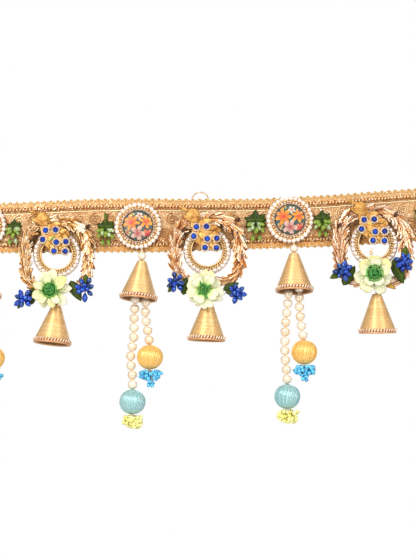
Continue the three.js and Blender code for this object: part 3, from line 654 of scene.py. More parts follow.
band = {
    "height": 46, "thick": 2, "hem": 0.5,
    "scallops": 81, "scallopPitch": 470 / 81, "scallopDeep": 1.5,
    "bowDeep": 1, "bowPitch": 65,  # how far the band bows back between what it carries
    "ridgeInset": 7.2, "ridgeWide": 1.9, "ridgeHigh": 0.75,  # the ridge under each row of stitches
    "weaveAcross": 1.5, "weaveDown": 1.8, "weaveHigh": 0.16,
    "stitches": [  # depth below the edge, pitch, length, width, slant and how proud the row stands
        (7.3, 2.8, 3.7, 1.45, 20, 1.0), (4.3, 1.9, 1.5, 0.7, 30, 0.4),
    ],
    "arches": [  # half width in pitches, height, cord and tone of the arches on a scallop
        (0.46, 2.7, 0.4, 0.85), (0.2, 1.3, 0.34, 0.35),
    ],
    "plaitInset": 9.6, "tapeInset": 11.0, "tapeWide": 1.05,
    "curlPitch": 13.2, "curlRadius": 5.2, "curlCord": 0.55, "curlStart": -232, "curlTurns": 2.1,
    "curlRows": [  # how many, depth below the top edge, and the way they wind
        (35, 17.6, 1), (34, 29.6, -1),
    ],
    "columns": 620, "rows": 52, "backRows": 8,
}
bandEdges = np.array([  # x, rise of the top edge, rise of the bottom edge
    (-235, -4.5, -2.5), (-187, -3.4, -2), (-136, -1.3, -1.6), (-102, 0.2, -1.3), (-51, 0.3, -1.4),
    (-17, 0, 0), (30, 0.3, 1.5), (89, 3.2, 3.3), (128, 6, 5.5), (167, 9, 8), (201, 10.8, 9.8),
    (235, 11.5, 10.5),
])
bandLeft, bandRight = bandEdges[0, 0], bandEdges[-1, 0]


def alongTable(table, x, column):
    # a smooth value of a table's column at x
    xs, values = table[:, 0], table[:, column]
    i = np.clip(np.searchsorted(xs, x, side="right") - 1, 0, len(xs) - 2)
    low, high = np.maximum(np.arange(len(xs)) - 1, 0), np.minimum(np.arange(len(xs)) + 1, len(xs) - 1)
    slope = (values[high] - values[low]) / (xs[high] - xs[low])
    span = xs[i + 1] - xs[i]
    t = (x - xs[i]) / span
    return (values[i] * (1 + 2 * t) * (1 - t) ** 2 + values[i + 1] * t ** 2 * (3 - 2 * t)
            + span * (slope[i] * t * (1 - t) ** 2 + slope[i + 1] * t ** 2 * (t - 1)))


def frontY(x):
    return band["bowDeep"] / 2 * (1 - np.cos(2 * pi * x / band["bowPitch"]))


def bandTop(x):
    return alongTable(bandEdges, x, 1)


def bandBottom(x):
    return alongTable(bandEdges, x, 2) - band["height"]


def scallop(x):
    # how far the edge dips between two scallops
    return band["scallopDeep"] * np.abs(np.cos(pi * (x - bandLeft) / band["scallopPitch"])) ** 0.9


def bandCloth():
    # the braid itself, woven in fine checks, with its front, hems and plain back
    rng = np.random.default_rng(11)
    x = np.linspace(bandLeft, bandRight, band["columns"])[:, None]
    down = np.linspace(0, 1, band["rows"])[None, :]
    top, bottom = bandTop(x) - scallop(x), bandBottom(x) + scallop(x)
    z = top + (bottom - top) * down
    depth = down * band["height"]
    weave = np.sin(2 * pi * x / band["weaveAcross"]) * np.sin(2 * pi * depth / band["weaveDown"])
    pile = band["weaveHigh"] * weave + rng.normal(0, 0.08, z.shape)
    for inset in (band["ridgeInset"], band["height"] - band["ridgeInset"]):
        pile += band["ridgeHigh"] * np.exp(-((depth - inset) / band["ridgeWide"]) ** 2)
    front = frontY(x) - 0.12 - pile
    front[:, [0, -1]] = frontY(x) + band["hem"]
    fronts = np.stack([x + 0 * z, front, z], 2)
    behind = np.linspace(1, 0, band["backRows"])[None, :]
    backZ = top + (bottom - top) * behind
    backY = frontY(x) + band["thick"] - np.where((behind == 0) | (behind == 1), band["hem"], 0)
    backs = np.stack([x + 0 * backZ, backY, backZ], 2)
    cloth = rounds(list(np.concatenate([fronts, backs], 1)))
    depths = np.concatenate([down[0], behind[0]])
    cloth.notes[:, 2] = np.tile(depths, band["columns"])
    return cloth


def stitchRows():
    # slanted stitches of bright yarn laid side by side along both edges, with painted shade towards their
    # ends
    rng = np.random.default_rng(8)
    forms = []
    for inset, pitch, long, wide, slant, proud in band["stitches"]:
        yarn = ballForm(0.5, 8, 6).placed(turn=np.diag([wide, 0.9 * wide, long]))
        for edge, way in ((bandTop, -1), (bandBottom, 1)):
            for x in np.arange(bandLeft + 2, bandRight - 1.5, pitch):
                before, here, after = edge(np.array([x - 1, x, x + 1]))
                level = here + way * inset
                rise = degrees(atan2(after - before, 2))
                turn = spun("y", slant - rise + rng.normal(0, 2))
                stitch = yarn.placed((x, float(frontY(x)) - proud, level), turn, rng.uniform(0.94, 1.05))
                # painted shade: each stitch's tone falls from its middle towards its ends, where it dips into
                # the weave
                fromMiddle = np.abs(stitch.points[:, 2] - level) / long
                stitch.notes[:, 2] = rng.uniform(0.85, 1.1) * np.clip(1.25 - 2.1 * fromMiddle, 0.1, 1)
                forms.append(stitch)
    return forms


def edgeCords():
    # arches of fine cord on each scallop, a knot on its crown, and a plaited line beside the stitches
    forms = []
    pitch = band["scallopPitch"]
    bows = np.linspace(-1, 1, 9)
    knot = ballForm(0.62, 8, 5)
    for k in range(band["scallops"]):
        centre = bandLeft + (k + 0.5) * pitch
        for reach, tall, cord, tone in band["arches"]:
            x = centre + bows * reach * pitch
            rise = tall * (1 - np.abs(bows) ** 2.2)
            for edge, way in ((bandTop(x), 1), (bandBottom(x), -1)):
                z = edge - way * (3.2 - rise)
                forms.append(tube(np.stack([x, frontY(x) - 0.16, z], 1), cord, 5, tone=tone))
        for edge, way in ((bandTop(centre), 1), (bandBottom(centre), -1)):
            forms.append(knot.placed((centre, float(frontY(centre)) - 0.2, edge - way * 0.75), tone=0.62))
    x = np.linspace(bandLeft + 1, bandRight - 1, 470)
    for z in (bandTop(x) - band["plaitInset"], bandBottom(x) + band["plaitInset"]):
        path = np.stack([x, frontY(x) - 0.3, z], 1)
        forms += twisted(path, pitch=2.6, spread=0.32, radius=0.34, steps=6, sides=4, tones=(0.55, 0.1))
    return forms


def foilTape():
    # a line of bright foil that wanders a little under the upper plait
    x = np.linspace(bandLeft + 0.6, bandRight - 0.6, 420)
    flutter = 0.12 * np.sin(x * 1.9) + 0.1 * np.sin(x * 0.73)
    path = np.stack([x, frontY(x) - 0.45, bandTop(x) - band["tapeInset"] + flutter], 1)
    return [tube(path, band["tapeWide"] / 2, 8, flat=0.6, tone=0.8)]


def curls():
    # curls of gimp that wind in from a running line, in two rows
    rng = np.random.default_rng(5)
    forms = []
    t = np.linspace(0, 1, 34)
    for row, (count, level, way) in enumerate(band["curlRows"]):
        angle = pi / 2 + way * 2 * pi * band["curlTurns"] * t
        for k in range(count):
            heart = band["curlStart"] + (k + 0.5 + 0.5 * row) * band["curlPitch"]
            r = band["curlRadius"] * (1 - 0.82 * t) + 0.1 * rng.normal()
            x = heart + r * np.cos(angle) * 1.05
            middle = bandTop(x) + (bandBottom(x) - bandTop(x)) * level / band["height"]
            path = np.stack([x, frontY(x) - 0.55 - 0.15 * t, middle + way * r * np.sin(angle)], 1)
            forms.append(tube(path, band["curlCord"], 5, tone=rng.uniform(0.2, 1)))
    return forms


bandPiece = piece("band_braid", [bandCloth()], finishes["braid"], ["band"])
ropePiece = piece("band_stitches", stitchRows(), finishes["rope"])
edgePiece = piece("band_edge_cords", edgeCords(), finishes["selvedge"])
tapePiece = piece("band_foil_line", foilTape(), finishes["foilTape"])
curlPiece = piece("band_curls", curls(), finishes["gimp"])
print("band made")

ringWire = {"radius": 7.25, "wire": 0.55}
ringNodes = ["hanging_ring_left", "hanging_ring_middle", "hanging_ring_right"]
for node in ringNodes:
    angle = circled(64)
    circle = np.stack([np.cos(angle), 0 * angle, np.sin(angle)], 1) * ringWire["radius"] + boxOf(node)[2]
    piece(node.replace("hanging", "wire"), [tube(circle, ringWire["wire"], 10, loop=True)], finishes["wire"],
          [node])


# Rims of pearls, braid and stones, on the medallions and the open rings

rim = {
    "radius": 20.3, "pearls": 30, "pearl": 2.0, "pearlOut": 2.1, "disc": 12.7, "discOut": 3.2, "dome": 1.5,
    "rows": [  # radius, how many, bead radius, lift: gold beads, then two rows of stones
        (16.85, 52, 0.95, 3.0), (15.2, 37, 1.0, 3.4), (13.75, 56, 0.66, 3.7),
    ],
    # radius and height of the plate that carries the beads
    "plate": [(0, 2.9), (15.2, 2.9), (17.6, 2.2), (18.9, 1.2), (18.5, 0), (0, 0)],
    "openPlate": [(13.0, 0), (13.0, 2.0), (16.9, 2.0), (18.8, 1.0), (18.8, 0)],
}
smallPearl = ballForm(rim["pearl"], 14, 9)


def pearlRim(centre, back, seed):
    # pearls side by side round the edge, none quite in line
    rng = np.random.default_rng(seed)
    forms = []
    for k in range(rim["pearls"]):
        angle = 2 * pi * (k + 0.3) / rim["pearls"]
        r = rim["radius"] - rim["pearl"] + rng.normal(0, 0.12)
        y = back - rim["pearlOut"] + rng.normal(0, 0.1)
        at = (centre[0] + r * cos(angle), y, centre[2] + r * sin(angle))
        forms.append(smallPearl.placed(at, tone=rng.uniform(0, 1)))
    return forms


def coilRing(centre, y, radius, loops, coil, wire, tone):
    # a slightly flattened coil of wire laid round in a ring
    steps = 10
    angle = circled(loops * steps)
    turn = angle * loops
    r = radius + coil * np.cos(turn)
    path = np.stack([centre[0] + r * np.cos(angle), y - 0.7 * coil * np.sin(turn),
                     centre[2] + r * np.sin(angle)], 1)
    return tube(path, wire, 5, loop=True, tone=tone, reference=(0.02, 1, 0.03))


def ringOf(centre, y, radius, wire, tone, sides=8, steps=72):
    # a ring of wire that faces the front
    angle = circled(steps)
    path = np.stack([radius * np.cos(angle), 0 * angle, radius * np.sin(angle)], 1)
    return tube(path + [centre[0], y, centre[2]], wire, sides, loop=True, tone=tone)


def ringSpots(centre, y, radius, count):
    for angle in circled(count):
        yield np.array([centre[0] + radius * cos(angle), y, centre[2] + radius * sin(angle)])


def stoneForm(radius, sides, high):
    # a cut stone of two rows of facets, with its flat table to the front
    cut = lathed([(0, 0), (radius, 0), (radius, 0.2 * radius), (0.82 * radius, 0.6 * high * radius),
                  (0.52 * radius, high * radius), (0, high * radius)], sides, smooth=False)
    return cut.placed(turn=faceFront)


rowBead = ballForm(1.0, 8, 5)
for n in (1, 2, 3, 4):
    node = f"medallion_{n}"
    _, high, centre = boxOf(node)
    back = high[1]
    rng = np.random.default_rng(30 + n)
    plate = lathed(rim["plate"], 48).placed((centre[0], back, centre[2]), faceFront, tone=0.3)
    radius, count, size, lift = rim["rows"][0]
    gold = [plate, ringOf(centre, back - 2.6, 17.95, 0.35, 0.4), ringOf(centre, back - 3.3, 14.55, 0.22, 0.2)]
    gold += [rowBead.placed(at, size=size * rng.uniform(0.85, 1.1), tone=rng.uniform(0.35, 1))
             for at in ringSpots(centre, back - lift, radius, count)]
    piece(f"{node}_braid", gold, finishes["rimGold"], [node])
    piece(f"{node}_pearls", pearlRim(centre, back, 60 + n), finishes["rimPearl"])
    stones, cups = [], []
    for radius, count, size, lift in rim["rows"][1:]:
        stone = stoneForm(size, 6, 0.9)
        cup = lathed([(0, -0.5), (size + 0.12, -0.5), (size + 0.2, 0.1), (0, 0.1)], 8).placed(turn=faceFront)
        for at in ringSpots(centre, back - lift, radius, count):
            at = at + rng.normal(0, 0.14, 3)
            stones.append(stone.placed(at, spun("y", rng.uniform(0, 60)), rng.uniform(0.8, 1.12),
                                       rng.uniform(0, 1)))
            cups.append(cup.placed(at, tone=rng.uniform(0.2, 0.6)))
    piece(f"{node}_stones", stones, finishes["rhinestone"])
    piece(f"{node}_cups", cups, finishes["rimGold"])
    edge = rim["disc"]
    profile = [(0, 0), (edge - 0.1, 0), (edge, 0.6)]
    profile += [(edge * (1 - s), 1.0 + rim["dome"] * (1 - (1 - s) ** 2)) for s in np.linspace(0, 1, 12)]
    disc = lathed(profile, 60).placed((centre[0], back - rim["discOut"], centre[2]), faceFront)
    disc.notes[:, :2] = (disc.points[:, [0, 2]] - centre[[0, 2]]) / (2 * edge) + 0.5
    piece(f"{node}_picture", [disc], finishes["disc"])
    bezel = ringOf(centre, back - 4.1, edge + 0.05, 0.42, 0.3)
    piece(f"{node}_bezel", [bezel], finishes["bezel"])
print("medallions made")

for n in (1, 2, 3):
    node = f"open_ring_{n}"
    _, high, centre = boxOf(node)
    back = high[1]
    plate = lathed(rim["openPlate"], 56, loop=True).placed((centre[0], back, centre[2]), faceFront, tone=0.0)
    gold = [plate, ringOf(centre, back - 2.6, 13.55, 0.7, 0.75),
            coilRing(centre, back - 2.9, 15.9, 44, 1.5, 0.4, 0.95),
            ringOf(centre, back - 2.3, 17.6, 0.35, 0.6), ringOf(centre, back - 1.2, 20.0, 0.38, 0.8)]
    piece(f"{node}_braid", gold, finishes["rimGold"], [node])
    piece(f"{node}_pearls", pearlRim(centre, back, 70 + n), finishes["rimPearl"])
print("open rings made")


# Cones: gold thread wound on a paper cone, with a twisted trim at the mouth

coneSize = {  # lists of pairs are radius and height, down from the tip
    "height": 34, "turns": 31, "around": 60, "ripple": 0.16,
    "mouth": [(16.5, -31.8), (16.2, -34)],  # the solid's widest rows
    "stitches": 38, "stitch": (1.45, 1.3, 3.3), "stitchLean": -28,
    "top": [(1.3, -0.4), (2.6, -0.3), (3.7, -0.7)],
    "lip": [(15.3, -33.0), (14.9, -33.6), (14.2, -33.2)],
    "inside": [(14.0, -32.4), (2.9, -3.6), (1.3, -2.4)],
    "lining": [(13.9, -33.0), (13.6, -33.0), (2.4, -4.4), (2.7, -4.0)],
    "cords": [  # radius, height, thickness, sides and tone of the cords round the mouth
        # the third cord, of tone 0, lies under the stitches as painted shade in the gaps between them
        (14.3, -29.4, 0.5, 6, 0.35), (15.2, -33.1, 0.8, 8, 0.45), (14.95, -31.2, 1.15, 8, 0.0),
    ],
}
coneLeans = {  # degrees to the side and to the front
    "m1": (1, 4), "m2": (5, 3.5), "m3": (0, 4.7), "m4": (2, 4),
    "w1": (5.5, 3), "w2": (2.5, -0.5), "w3": (-1, -5.5),
}


def coneTip(node, lean):
    # the tip of a leaning cone, from the box of its node
    angle = circled(72)
    mouth = np.concatenate([np.stack([r * np.cos(angle), r * np.sin(angle), 0 * angle + z], 1) @ lean.T
                            for r, z in coneSize["mouth"]])
    low, _, centre = boxOf(node)
    middle = (mouth.min(0) + mouth.max(0)) / 2
    return np.array([centre[0] - middle[0], centre[1] - middle[1], low[2] - mouth.min(0)[2]])


coneTips = {}
for key, (side, front) in coneLeans.items():
    node = f"cone_{key}"
    lean = spun("x", -front) @ spun("y", side)
    tip = coneTip(node, lean)
    coneTips[key] = (tip, lean)
    rng = np.random.default_rng(sum(map(ord, key)))
    profile, tones = list(coneSize["top"]), [0.4, 0.5, 0.6]
    rows = 3 * coneSize["turns"]
    for k in range(rows + 1):
        # each turn of thread has a groove painted dark as shade and two light rows of random tone
        ripple = 0.6 * coneSize["ripple"]
        if k % 3 == 0:
            ripple, shade = -coneSize["ripple"], 0.25
        elif k % 3 == 1:
            shade = rng.uniform(0.62, 0.95)
        profile.append((3.95 + 11.25 * k / rows + ripple, -1 - 29.6 * k / rows))
        tones.append(shade)
    profile += coneSize["lip"] + coneSize["inside"]
    tones += [0.3] * (len(profile) - len(tones))
    shell = lathed(profile, coneSize["around"], loop=True)
    shell.notes[:, 2] = np.repeat(tones, coneSize["around"])
    piece(f"{node}_thread", [shell.placed(tip, lean)], finishes["coneThread"], [node])
    lining = lathed(coneSize["lining"], 48, loop=True).placed(tip, lean)
    piece(f"{node}_lining", [lining], finishes["lining"])
    angle = circled(96)
    mouth = np.stack([np.cos(angle), np.sin(angle), 0 * angle], 1)
    trim = [tube(mouth * radius + [0, 0, z], thick, sides, loop=True, tone=tone)
            for radius, z, thick, sides, tone in coneSize["cords"]]
    stitch = ballForm(0.5, 8, 6).placed(turn=np.diag(coneSize["stitch"]))
    for k in range(coneSize["stitches"]):
        around = spun("z", 360 * k / coneSize["stitches"])
        trim.append(stitch.placed(around @ [15.75, 0, -31.2], around @ spun("x", coneSize["stitchLean"]),
                                  tone=rng.uniform(0.75, 1)))
    piece(f"{node}_trim", [form.placed(tip, lean) for form in trim], finishes["coneTrim"])
    if key[0] == "w":
        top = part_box(node)[1][2] / mm
        path = np.array([tip + lean @ np.array([0, 0, z]) for z in np.linspace(-3.5, top - tip[2], 12)])
        neck = tube(path, 0.75, 8, tone=0.6, reference=(1, 0, 0))
        knot = ballForm(1.5, 12, 8).placed(tip + [0, 0, 1.0], tone=0.4)
        piece(f"{node}_neck", [neck, knot], finishes["coneThread"])
print("cones made")


# Drops: strings of pearls, wound balls and bead tassels

strings = {
    "pearl": 4.0, "hanger": 3.4, "cord": 0.55,  # radii: the hanger is the pearl above the cone
    "pitch": 8.05, "knot": -4.4, "clear": 8,  # the strings part at the knot, and begin with bare cord
    "lean": 0.55,  # how far a string comes forward over the height of a cone
    # how many pearls, and where the string runs, across and up from the cone's tip
    "swayed": {
        "long": (10, [(-2.2, -13), (-4.9, -24.7), (-5.6, -36), (-6.4, -51), (-6.6, -66.3), (-9.1, -82.5),
                      (-7.4, -99)]),
        "short": (6, [(1.8, -13), (3.7, -27), (3.2, -45), (5.4, -61.2)]),
    },
    "even": {
        "long": (10, [(-2, -13), (-4.4, -28), (-5.6, -43), (-7.5, -60), (-8.4, -83.9), (-6.9, -102)]),
        "short": (6, [(2, -13), (4.1, -28), (4.3, -46.6), (6.2, -66)]),
    },
}
dropKinds = {1: "even", 2: "swayed", 3: "even", 4: "swayed"}
bigPearl = ballForm(strings["pearl"], 20, 14)
wound = {"radius": 11, "squat": 0.95, "ribs": 46, "rows": 26, "rise": 0.2}


def ribbedBall(seed):
    # threads wound from pole to pole: each is a rib
    rng = np.random.default_rng(seed)
    angle = circled(wound["ribs"] * 4)
    lift = np.tile([-1.6, 0.2, 0.75, 0.2], wound["ribs"]) * wound["rise"]
    lift = lift + np.repeat(rng.normal(0, 0.06, wound["ribs"]), 4)
    rings = []
    for t in np.linspace(0.09, pi - 0.09, wound["rows"]):
        r = (wound["radius"] - 0.15 + lift) * sin(t)
        sway = angle + 0.1 * np.sin(2.2 * t)
        rings.append(np.stack([r * np.cos(sway), r * np.sin(sway),
                               0 * sway + wound["radius"] * wound["squat"] * cos(t)], 1))
    pole = wound["radius"] * wound["squat"] * 0.86
    ball = rounds([[[0, 0, pole]]] + rings + [[[0, 0, -pole]]])
    # each rib has a random tone; its groove vertex is painted dark as shade between the ribs and its crest a
    # little brighter
    tones = np.repeat(rng.uniform(0.5, 0.95, wound["ribs"]), 4) * np.tile([0.0, 0.9, 1.1, 0.9], wound["ribs"])
    ball.notes[1:-1, 2] = np.tile(tones, wound["rows"])
    return ball


def beadOf(radius):
    # a seed bead: a short ring with rounded ends and a hole
    rows = [(0.2, 0.7), (0.72, 0.8), (1.0, 0.36), (1.0, -0.36), (0.72, -0.8), (0.2, -0.7)]
    return lathed([(r * radius, h * radius) for r, h in rows], 10, loop=True)


tassels = {  # down, across, half width and half depth of each kind's bunch of beads
    "pointed": [(-0.6, 0, 6.4, 3.4), (-1.9, 0, 9.8, 4.6), (-5.8, -0.4, 9.2, 4.2), (-8.2, -0.2, 3.5, 3),
                (-12.8, -0.2, 2.6, 2.2), (-13.8, -0.2, 2.0, 1.4)],
    "square": [(-0.6, 0, 7.4, 3.6), (-1.9, -0.4, 9.2, 4.4), (-7.0, 0, 8.6, 4.2), (-9.4, 2, 6.4, 3.2),
               (-10.6, 4.4, 2.6, 1.8)],
}
bunch = {"bead": 1.7, "apart": 2.6, "tries": 3000}
seedBeadForm = beadOf(bunch["bead"])


def tasselForms(kind, top, seed):
    # beads dropped into the bunch wherever there is room, and the threads that hold them
    rng = np.random.default_rng(seed)
    rows = np.array(tassels[kind])
    taken, beads = np.zeros((0, 3)), []
    for _ in range(bunch["tries"]):
        down = rng.uniform(rows[-1, 0] + 0.4, -0.9)
        middle, wide, deep = (np.interp(-down, -rows[:, 0], rows[:, k]) for k in (1, 2, 3))
        angle, far = rng.uniform(0, 2 * pi), sqrt(rng.random())
        at = np.array([middle + (wide - 0.5) * far * cos(angle), (deep - 0.5) * far * sin(angle), down])
        if len(taken) and np.min(np.linalg.norm(taken - at, axis=1)) < bunch["apart"]:
            continue
        taken = np.vstack([taken, at])
        turn = spun("z", rng.uniform(0, 180)) @ spun("y", rng.uniform(20, 110))
        beads.append(seedBeadForm.placed(top + at, turn, rng.uniform(0.92, 1.06), rng.uniform(0, 1)))
    cords = []
    for at in taken[::3]:
        line = smoothThrough([top + [0, 0, 0.2], top + [at[0] * 0.5, at[1] * 0.4, at[2] * 0.4], top + at], 4)
        cords.append(tube(line, 0.3, 5, tone=0.4, reference=(0.3, 1, 0.1)))
    return beads, cords


for n in (1, 2, 3, 4):
    rng = np.random.default_rng(100 + n)
    tip, lean = coneTips[f"m{n}"]
    drop = strings[dropKinds[n]]
    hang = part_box(f"strands_{n}")[1][2] / mm
    cords = [tube([tip + [0, 0, z] for z in np.linspace(strings["knot"], hang - tip[2], 10)], 0.6, 8,
                  reference=(1, 0, 0))]
    pearls = [ballForm(strings["hanger"], 20, 14).placed(tip + [0, 0, 3.6], tone=0.3)]
    for length, colour, beadFinish, beadSlot, kind, ballNode in (
            ("long", "teal", "lemonBead", "yellow_beads", "square", f"ball_teal_{n}"),
            ("short", "yellow", "blueBead", "blue_beads", "pointed", f"ball_yellow_{n}")):
        count, route = drop[length]
        _, high, centre = boxOf(ballNode)
        top = high[2] + 0.1
        points = [tip + [0, 0, strings["knot"]]]
        points += [tip + [x, z / coneSize["height"] * strings["lean"], z] for x, z in route]
        points.append(np.array([centre[0], centre[1], top]))
        line = smoothThrough(points, 10)
        total = lengthsAlong(line)[-1]
        cords.append(tube(line, strings["cord"], 6, reference=(1, 0.2, 0)))
        for k in range(count):
            at = total - (count - k - 0.5) * strings["pitch"]
            if at > strings["clear"]:
                pearls.append(bigPearl.placed(pointsAt(line, [at])[0], tone=rng.uniform(0, 1)))
        ball = ribbedBall(200 + n).placed(centre)
        piece(f"{ballNode}_thread", [ball], finishes[colour], [ballNode])
        tassel = f"tassel_{colour}_{n}"
        tie = np.array([centre[0] + 0.6, centre[1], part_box(tassel)[1][2] / mm])
        beads, ends = tasselForms(kind, tie, 300 + n * 2 + len(length))
        piece(f"{tassel}_beads", beads, finishes[beadFinish], [tassel])
        piece(f"{tassel}_cords", ends, finishes["cord"])
    piece(f"strands_{n}_pearls", pearls, finishes["pearl"], [f"strands_{n}"])
    piece(f"strands_{n}_cord", cords, finishes["cord"])
print("drops made")


# Garlands: bunches of metallised strips bound over a cord, each bunch lapping the next, down both sides

garland = {
    "inner": 21, "topBand": 13.2, "bottomBand": 9, "deep": 3.5,  # the hole's half width, then the ring's own
    "squareTop": 2.5, "squareFoot": 3.6,  # from 2, an oval, towards a box
    "stripThick": 0.42, "rows": 7, "behind": 5, "tones": [0.35, 0.7, 1.05, 1.2],
    "kinds": {  # how long and wide the strips of each garland are, bunches' step, strips to a side
        1: {"long": 12, "wide": 1.1, "step": 6.4, "fan": 6},
        2: {"long": 12.5, "wide": 1.05, "step": 6.6, "fan": 6},
        3: {"long": 14.5, "wide": 0.8, "step": 6, "fan": 8},
    },
}


def garlandMiddle(wide, high, turn):
    # across and up of the ring's middle line at each turn, and its half width there
    side = wide / 2 - garland["inner"]
    upper = np.sin(turn) > 0
    power = 2 / np.where(upper, garland["squareTop"], garland["squareFoot"])
    bandAcross = np.where(upper, garland["topBand"], garland["bottomBand"])
    x = (wide / 2 - side / 2) * np.sign(np.cos(turn)) * np.abs(np.cos(turn)) ** power
    z = (high / 2 - bandAcross / 2) * np.sign(np.sin(turn)) * np.abs(np.sin(turn)) ** power
    across = side + (bandAcross - side) * np.sin(turn) ** 2
    return x, z, across / 2


def halfPath(wide, high, way):
    # the middle line down one side, from the top: points, outward direction, half width, length
    turn = pi / 2 - way * np.linspace(-0.02, pi + 0.02, 400)
    x, z, half = garlandMiddle(wide, high, turn)
    path = np.stack([x, 0 * x, z], 1)
    heading = np.gradient(path, axis=0)
    heading /= np.linalg.norm(heading, axis=1, keepdims=True)
    out = np.stack([-heading[:, 2], 0 * x, heading[:, 0]], 1) * way
    if way < 0:
        path, out, half = path[::-1], out[::-1], half[::-1]
    return path, out, half, lengthsAlong(path)


def stripForm(line, normals, sideways, widths, tone, thick):
    # a strip folded along its middle, with edges that stand up; the edges get painted highlight, and the
    # fold, the back and the foot get painted shade
    left = line + sideways * widths[:, None] + normals * thick
    right = line - sideways * widths[:, None] + normals * thick * 0.8
    front = line - normals * thick * 0.1
    back = line - normals * thick
    strip = rounds(list(np.stack([left, front, right, back], 1)), tone=tone, smooth=False)
    # painted shade towards the foot; across the strip, painted highlight on the edges and painted shade in
    # the fold and on the back
    rise = np.repeat(np.linspace(0.6, 1, len(line)), 4)
    strip.notes[:, 2] *= rise * np.tile([1.2, 0.16, 1.0, 0.1], len(line))
    return strip


def garlandForms(wide, high, centre, kind, seed):
    # bunches of strips that fan out from the middle line, most to the front and some to the back
    rng = np.random.default_rng(seed)
    forms = []
    t = np.linspace(0, 1, garland["rows"])
    for way in (1, -1):
        path, out, half, length = halfPath(wide, high, way)
        total = length[-1]
        for knot in np.arange(-3, total - 6, kind["step"]):
            foot = knot + rng.uniform(-0.8, 0.8)
            strips = [(side, 1, (j + rng.uniform(0.2, 0.8)) / kind["fan"])
                      for side in (1, -1) for j in range(kind["fan"])]
            strips += [(side, 1, rng.uniform(0, 0.6)) for side in (1, -1)]
            strips += [(side, -1, rng.uniform(0, 1)) for side in (1, -1) for _ in range(garland["behind"])]
            for side, face, fan in strips:
                long = kind["long"] * rng.uniform(0.78, 1.08) * (1.06 - 0.25 * fan)
                at = np.clip(foot + rng.uniform(-1, 1) + long * t, 0, total)
                wideHere = np.interp(at, length, half)
                offset = side * wideHere * fan * (0.08 + 0.9 * t) + rng.normal(0, 0.2)
                lift = 1.3 + 2.3 * t ** 0.8 - 0.9 * (np.abs(offset) / (wideHere + 0.5)) ** 2 * t
                lift = lift + rng.uniform(-0.45, 0.25)
                outHere = valuesAt(out, length, at)
                line = valuesAt(path, length, at) + outHere * offset[:, None]
                line[:, 1] = face * np.clip(lift, 0.2, garland["deep"] - 0.05)
                run = np.gradient(line, axis=0)
                run /= np.linalg.norm(run, axis=1, keepdims=True)
                normal = np.array([0.0, face, 0.0]) + outHere * (side * 0.3 * fan + rng.normal(0, 0.55))
                normal -= run * np.sum(normal * run, 1)[:, None]
                normal /= np.linalg.norm(normal, axis=1, keepdims=True)
                widths = kind["wide"] * rng.uniform(0.7, 1.15) * np.sin(pi * (t * 0.66 + 0.12)) ** 0.6
                forms.append(stripForm(line, normal, np.cross(run, normal), widths,
                                       rng.choice(garland["tones"]), garland["stripThick"]))
    return [form.placed(centre) for form in forms]


def garlandCore(wide, high, centre):
    # the dark cord under the strips, partly painted shade where it shows in the gaps between them
    x, z, half = garlandMiddle(wide, high, circled(90))
    path = np.stack([x, 0 * x, z], 1) + centre
    return [tube(path, half * 0.62, 10, loop=True, flat=0.42, tone=0.4)]


knots = {  # across and up of each knot, where its fans of strips point, in degrees, and their tone
    1: [((-112.6, -26.2), (183,), 1.0), ((-157.5, -35), (), 1.0)],
    2: [((14.8, -20.2), (186,), 0.7), ((-31, -28.5), (), 1.0)],
    3: [((149.8, -15.6), (176,), 0.6), ((101.5, -25), (), 1.0)],
}


def knotForms(across, up, fans, tone, seed):
    # a tie of dark wire with two loose ends, and strips fanning out of it
    rng = np.random.default_rng(seed)
    at = np.array([across, -8.0, up])
    ties = []
    for k in range(5):
        lean = rng.uniform(-18, 18)
        ring = ringOf((0, 0, 0), 0, 1.7, 0.42, rng.uniform(0, 0.4), 5, 20)
        ties.append(ring.placed(at + [0.54 * (k - 2), -0.2, 0.3 * (k - 2)], spun("z", 70 + lean)))
    for way in (1, -0.4):
        end = at + np.array([[0, 0, 0], [1.6, -0.6, 1.2 * way], [3.6, -0.4, 1.6 * way]])
        ties.append(tube(end, [0.7, 0.5, 0.3], 5, tone=0.1))
    strips = []
    for turn in fans:
        for k in range(6):
            outline = leafOutline(rng.uniform(8.5, 12), rng.uniform(2.0, 2.7), 7)
            leaf = blade(outline, 0.6, None, 2, tone=tone * rng.choice([0.55, 0.95, 1.15]))
            leaf.notes[1:, 2] *= 0.85
            leaf.smooth[:] = False
            strips.append(turnedOut(leaf, turn + (k - 2.5) * 9 + rng.uniform(-3, 3), rng.uniform(-1, 7), 1.2,
                                    at - [0, 0.3 * rng.random(), 0]))
    return ties, strips


for n in (1, 2, 3):
    node = f"wreath_{n}"
    low, high, centre = boxOf(node)
    wide, tall = high[0] - low[0], high[2] - low[2]
    strips = garlandForms(wide, tall, centre, garland["kinds"][n], 400 + n)
    ties = garlandCore(wide, tall, centre)
    for k, ((across, up), fans, tone) in enumerate(knots[n]):
        tied, fanned = knotForms(across, up, fans, tone, 440 + 10 * n + k)
        ties += tied
        strips += fanned
    piece(f"{node}_strips", strips, finishes[f"strip{n}"], [node])
    piece(f"{node}_core", ties, finishes["core"])
print("garlands made")


# Charms: a gold bird with seven stones in haloes

